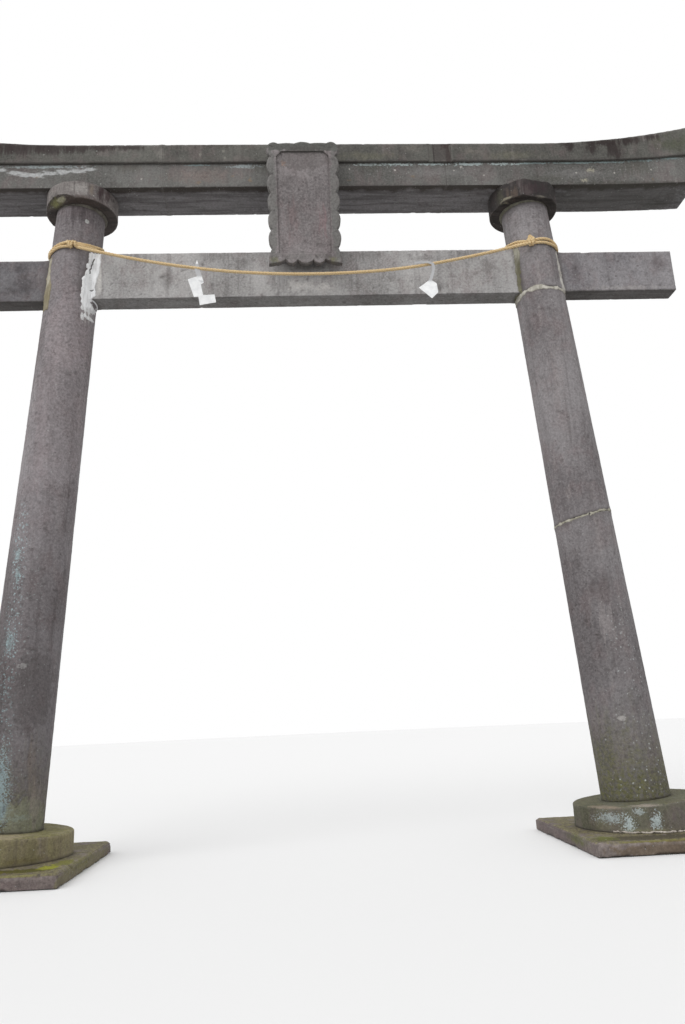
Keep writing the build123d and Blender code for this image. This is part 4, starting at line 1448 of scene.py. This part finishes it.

# In these looks, settings that start with under give the painted shade of a stone's downward faces
stones = {
    # fade darkens each pillar towards its foot: painted shade by height
    "pillar_left": ("pillarLeft", stoneLook(
        "706a6b", "8e898b", seed=3, patches=pillarLeftStains, moss=(0.22, 0.8, 0.75),
        fade=(0.9, 2.4, 0.69, 1.01), grain=0.011, pocks=0.3, streaks=0.35, paleStreaks=0.25,
    )),
    "pillar_right_lower": ("pillarRight", stoneLook(
        "6b6667", "888485", seed=4, patches=pillarRightStains, moss=(0.22, 0.85, 0.9),
        fade=(0.5, 2.8, 0.84, 1.06), grain=0.011, pocks=0.35, streaks=0.35, paleStreaks=0.25,
    )),
    "pillar_right_middle": ("pillarRight", None),
    "pillar_right_upper": ("pillarRight", None),
    "cap_left": ("capLeft", stoneLook(
        "6e6866", "898481", seed=5, grain=0.0068, soften=2, chipFrom=0.35, patches=capLeftStains, streaks=0.4,
        paleStreaks=0.35, underDark="2c2724", underLight="48413d", underAmount=0.85,
        breaks=[((-1.714, -0.16, 4.2), (-0.5, -0.42, -0.75), 0.11)],
    )),
    "cap_right": ("capRight", stoneLook(
        "2b2827", "3c3837", seed=6, grain=0.0068, soften=2, chipFrom=0.4, patches=capRightStains, ledge=0.4,
        underDark="26221f", underLight="3f3936", underAmount=0.8,
    )),
    "tie_middle": ("tieMiddle", stoneLook(
        "8f8d8c", "b1afae", seed=7, patches=tieStains, blotches=0.25, streaks=0.3, mottle=0.14,
        underAmount=0.45, ledge=0.3,
    )),
    "tie_end_left": ("tieLeft", stoneLook(
        "5f5c5f", "7b797b", seed=8, patches=tieLeftStains, blotches=0.45, underAmount=0.7, ledge=0.3,
    )),
    "tie_end_right": ("tieRight", stoneLook(
        "716e71", "8d8a8c", seed=9, patches=tieRightStains, blotches=0.25, underAmount=0.75, ledge=0.3,
        pocks=0.5, holes=0.55,
    )),
    # the lower lintel's underside gets painted shade, with a darker painted band along its front
    "lower_lintel_left": ("lowerLintel", stoneLook(
        "5a5956", "757471", seed=10, patches=lowLintelStains, specks=0.22, underDark="625f60",
        underLight="858284", underAmount=0.8, frontBand=(-0.08, -0.125, "332c25", 0.85),
        closed=(-0.98, 0.98), seamAmount=0.12, chipFrom=0.65,
    )),
    "lower_lintel_middle": ("lowerLintel", None),
    "lower_lintel_right": ("lowerLintel", None),
    "top_lintel_left": ("topLintel", stoneLook(
        "51504c", "676661", seed=11, patches=topLintelStains, streaks=0.4, ledge=0.6, closed=(-0.98,),
        seamAmount=0.12, chipFrom=0.75,
    )),
    "top_lintel_middle": ("topLintel", None),
    "top_lintel_right": ("topLintel", None),
    "lintel_joint_block": ("jointBlock", stoneLook(
        "514e4b", "625e5a", seed=12, grain=0.006, streaks=0.5, patches=blockStains, specks=0.02,
        filled=((0.866, -0.173, 4.494), (1.034, -0.095, 4.6535)), seamAmount=0.1,
    )),
    "strut": ("strutStone", stoneLook("504c4c", "6a6565", seed=13)),
    "plaque": ("plaqueStone", stoneLook(
        "716c6c", "918b8b", seed=14, tint="7c6d6e", mottle=0.19, grain=0.0056, patches=plaqueStains,
        chipFrom=0.5, specks=0.04, blotches=0.45, streaks=0.35, dress=0.0016, seamAmount=0.3,
    )),
    "drum_left": ("drumLeft", stoneLook(
        "635d46", "847d5f", seed=15, grain=0.009, patches=drumLeftStains, ledge=0.7, streaks=0.35,
        mossDark="55532c", mossLight="7f7b48",
    )),
    "drum_right": ("drumRight", stoneLook(
        "4d4d3c", "676658", seed=16, grain=0.009, patches=drumRightStains, ledge=0.45, streaks=0.3,
        breaks=[
            ((1.5, -0.165, 0.215), (-0.5, -0.45, 0.74), 0.07),
            ((1.66, -0.315, 0.222), (-0.3, -0.6, 0.74), 0.08),
            ((1.8, -0.352, 0.229), (0, -0.66, 0.75), 0.05),
        ],
    )),
    "plinth_left": ("plinthStone", stoneLook(
        "625856", "837974", seed=17, grain=0.012, patches=plinthStains, ledge=0.6, swell=0.006, chipFrom=0.1,
        soften=4, mossDark="3f3d1e", mossLight="847f42",
        breaks=[
            ((-1.372, 0.555, 0.06), (0.6, 0.5, 0.6), 0.09),
            ((-1.362, -0.56, 0.06), (0.5, -0.5, 0.6), 0.08),
            ((-1.362, 0.15, 0.07), (0.7, 0, 0.7), 0.12),
            ((-1.365, -0.2, 0.07), (0.7, 0, 0.7), 0.1),
            ((1.368, -0.555, 0.062), (-0.6, -0.5, 0.6), 0.08),
            ((1.365, 0.1, 0.07), (-0.7, 0, 0.7), 0.12),
            ((-1.52, -0.568, 0.064), (0.1, -0.7, 0.7), 0.07),
            ((-1.74, -0.568, 0.066), (-0.1, -0.7, 0.7), 0.09),
            ((-1.362, -0.38, 0.062), (0.7, 0.1, 0.7), 0.08),
            ((-1.96, -0.568, 0.063), (0, -0.7, 0.7), 0.08),
            ((1.5, -0.568, 0.064), (-0.1, -0.7, 0.7), 0.07),
            ((1.8, -0.568, 0.066), (0.1, -0.7, 0.7), 0.08),
        ],
    )),
    "plinth_right": ("plinthStone", None),
}


# Other materials

def mortarMaterial(name, dark, light, stain, foot=None):
    board = Surface(name)
    cloud = board.noise(14, 4, 0.6)
    colour = board.mix(board.rise(cloud, 0.35, 0.65), dark, light)
    blemish = board.rise(board.noise(24, 5, 0.7), 0.58, 0.68)
    runs = board.rise(board.noise(1, 4, 0.6, (70, 70, 9)), 0.45, 0.68)
    colour = board.mix(blemish.most(runs) * 0.45, colour, stain)
    colour = board.mix(board.attribute("thin") * 0.55, colour, stain)
    colour = board.mix(board.rise(board.attribute("crack"), 0.15, 0.6) * 0.9, colour, "35302e")
    if foot:
        low, high, damp = foot
        colour = board.mix(board.rise(board.z + (cloud - 0.5) * 0.2, high, low) * 0.7, colour, damp)
    height = board.noise(120, 3, 0.6) * 0.7 + cloud * 0.5 - blemish * 0.4
    return board.finish(colour, 0.95, height, 0.004)


def ropeMaterial():
    board = Surface("strawRope")
    fibre = board.noise(420, 3, 0.7)
    colour = board.mix(board.rise(fibre, 0.35, 0.65), "bd9a66", "f6e2b8")
    colour = board.mix(board.rise(board.noise(30, 3, 0.6), 0.5, 0.75) * 0.45, colour, "d8b57e")
    return board.finish(colour, 0.8, fibre, 0.0015)


def paperMaterial():
    # its upper strips are greyer: partly dirt, and partly painted shade for the darker beam showing through
    # the thin paper
    board = Surface("streamerPaper")
    cloud = board.noise(25, 3, 0.6)
    colour = board.mix(board.rise(cloud, 0.3, 0.7), "e6e7e8", "f6f7f7")
    strip = board.rise(board.z + board.x * 0.04, 3.560, 3.585) * board.rise(board.z, 3.705, 3.695)
    return board.finish(board.mix(strip * 0.8, colour, "a3a3a5"), 0.7, cloud, 0.0006)


# Mortar where the tie stones meet the pillars, in heights and in distances from the pillar's axis. Rows are
# height, left and right edge. A drip is its head, its foot and half its width. A crack is its line and half
# its width.
plainCorner = {"proud": 0.004, "step": 0.005, "drips": [], "cracks": []}
cornerBeds = {
    "mortar_tie_left_inner": {
        **plainCorner,
        "side": -1, "tie": "tie_middle", "towards": 1, "proud": 0.0045, "step": 0.0035, "seed": 2.1,
        "rows": [
            (3.436, 0.116, 0.13), (3.452, 0.11, 0.148), (3.48, 0.104, 0.156), (3.516, 0.102, 0.16),
            (3.551, 0.1, 0.18), (3.633, 0.1, 0.172), (3.692, 0.112, 0.184), (3.772, 0.12, 0.186),
            (3.856, 0.124, 0.186),
        ],
        "drips": [
            (0.114, 3.46, 0.123, 3.345, 0.006), (0.128, 3.46, 0.136, 3.372, 0.006),
            (0.146, 3.47, 0.15, 3.364, 0.006), (0.156, 3.49, 0.158, 3.423, 0.005),
        ],
        "cracks": [
            ([(3.69, 0.131), (3.757, 0.138), (3.816, 0.147)], 0.0045),
            ([(3.57, 0.146), (3.585, 0.16)], 0.011),
        ],
        "tones": ("smearMortar", "ecedee", "fbfcfd", "bbb9b8"),
    },
    "mortar_tie_left_outer": {
        **plainCorner,
        "side": -1, "tie": "tie_end_left", "towards": -1, "seed": 3.4,
        "rows": [
            (3.418, -0.148, -0.102), (3.45, -0.156, -0.098), (3.5, -0.16, -0.095), (3.55, -0.162, -0.096),
            (3.6, -0.161, -0.102), (3.631, -0.159, -0.113), (3.7, -0.157, -0.122), (3.785, -0.156, -0.124),
            (3.813, -0.155, -0.126),
        ],
        "tones": ("leftMortar", "a39c88", "c9c4b4", "6d6650", (3.54, 3.72, "796f55")),
    },
    "mortar_tie_right_inner": {
        **plainCorner,
        "side": 1, "tie": "tie_middle", "towards": -1, "seed": 4.2,
        "rows": [
            (3.521, -0.168, -0.146), (3.589, -0.165, -0.142), (3.64, -0.164, -0.144), (3.7, -0.162, -0.132),
            (3.75, -0.161, -0.134), (3.798, -0.159, -0.124), (3.856, -0.157, -0.12),
        ],
        "tones": ("mossyMortar", "7d7a6b", "a5a294", "5a564a", (3.6, 3.8, "66634d")),
    },
    "mortar_tie_right_outer": {
        **plainCorner,
        "side": 1, "tie": "tie_end_right", "towards": 1, "seed": 5.7,
        "rows": [
            (3.5, 0.116, 0.158), (3.53, 0.12, 0.163), (3.583, 0.123, 0.161), (3.7, 0.127, 0.158),
            (3.83, 0.131, 0.155),
        ],
        "tones": ("rightMortar", "b0aca5", "d2cfc9", "85817a"),
    },
}
# Front of each band: degrees round from the front, rise of its middle over the bed, half its width
bandBeds = {
    "mortar_upper_joint": {
        "side": 1, "reach": 0.036, "step": 0.004, "proud": 0.003, "seed": 6.3,
        "front": [
            (-180, 0, 0.01), (-95, -0.014, 0.02), (-80, -0.016, 0.022), (-68, -0.008, 0.017),
            (-50, 0.004, 0.014), (-21, 0.006, 0.017), (-3, -0.004, 0.013), (27, 0, 0.012),
            (66, 0.004, 0.012), (180, 0, 0.01),
        ],
        "pits": [],
        "tones": ("jointMortar", "a39f95", "cbc7bd", "7d786a"),
    },
    "mortar_break": {
        "side": 1, "reach": 0.03, "step": 0.0035, "proud": 0.0022, "seed": 7.9,
        "front": [
            (-180, 0, 0.007), (-93, 0, 0.007), (-55, 0.002, 0.008), (-34, -0.002, 0.007), (-5, -0.001, 0.006),
            (18, 0.003, 0.006), (57, 0.003, 0.006), (180, 0, 0.007),
        ],
        "pits": [(-6, 0.01)],
        "tones": ("breakMortar", "9c988a", "b9b5a8", "706b5c"),
    },
}
collarBeds = {
    "mortar_cap_left": ("leftCollar", "5c5850", "77736a", "3c3933"),
    "mortar_cap_right": ("rightCollar", "6e6c60", "8d8a7c", "4a473d"),
}


# Build

slots = {part["node"]: part["material_slot"] for part in frame["record"]["subparts"]}
trees = {node: nodeTree(node) for node, slot in slots.items() if slot not in ("straw_rope", "streamer_paper")}
placeCamera()
placeLight()
placeFloor()
print("camera, light and floor are in place")

straw = ropeMaterial()
span, straws, spanPoints = makeSpan()
dressed(smoothShaded(span), straw, "rope_span")
dressed(smoothShaded(straws), straw)
for name, wrap in wraps.items():
    piece = makeWrap("rope_turns_" + name, wrap)
    dressed(smoothShaded(piece), straw, "rope_wrap_" + name)
white = paperMaterial()
for name, look in streamers.items():
    piece = makeStreamer("paper_" + name, look["panels"])
    dressed(piece, white, "streamer_" + name)
    cut = sum(outlineArea(outline) for outline in look["panels"])
    print("paper", name, round(cut, 4), "square metres")
print("rope and streamers are laid")

known = {}  # looks and materials that several stones share
for node, (name, look) in stones.items():
    if look:
        known[name] = (look, stoneMaterial(name, look))
    look, material = known[name]
    piece = wornStone(node, look)
    dressed(piece, material, node)
    print("stone", node, len(piece.data.polygons), "faces")

laid = {node: (cornerMortar(look), look["tones"]) for node, look in cornerBeds.items()}
laid.update({node: (bandMortar(node, look), look["tones"]) for node, look in bandBeds.items()})
laid.update({node: (collarMortar(node), tones) for node, tones in collarBeds.items()})
for node, (net, tones) in laid.items():
    dressed(smoothShaded(meshPiece(node + "_laid", net)), mortarMaterial(*tones), node)
foot = smoothShaded(meshPiece("drum_foot_mortar", footMortarRing("drum_right")))
dressed(foot, mortarMaterial(*footMortar["tones"]))
print("mortar is laid")

added = [piece.data for piece in bpy.data.objects if piece.type == "MESH" and piece.name not in slots]
print("triangles", sum(len(face.vertices) - 2 for mesh in added for face in mesh.polygons))
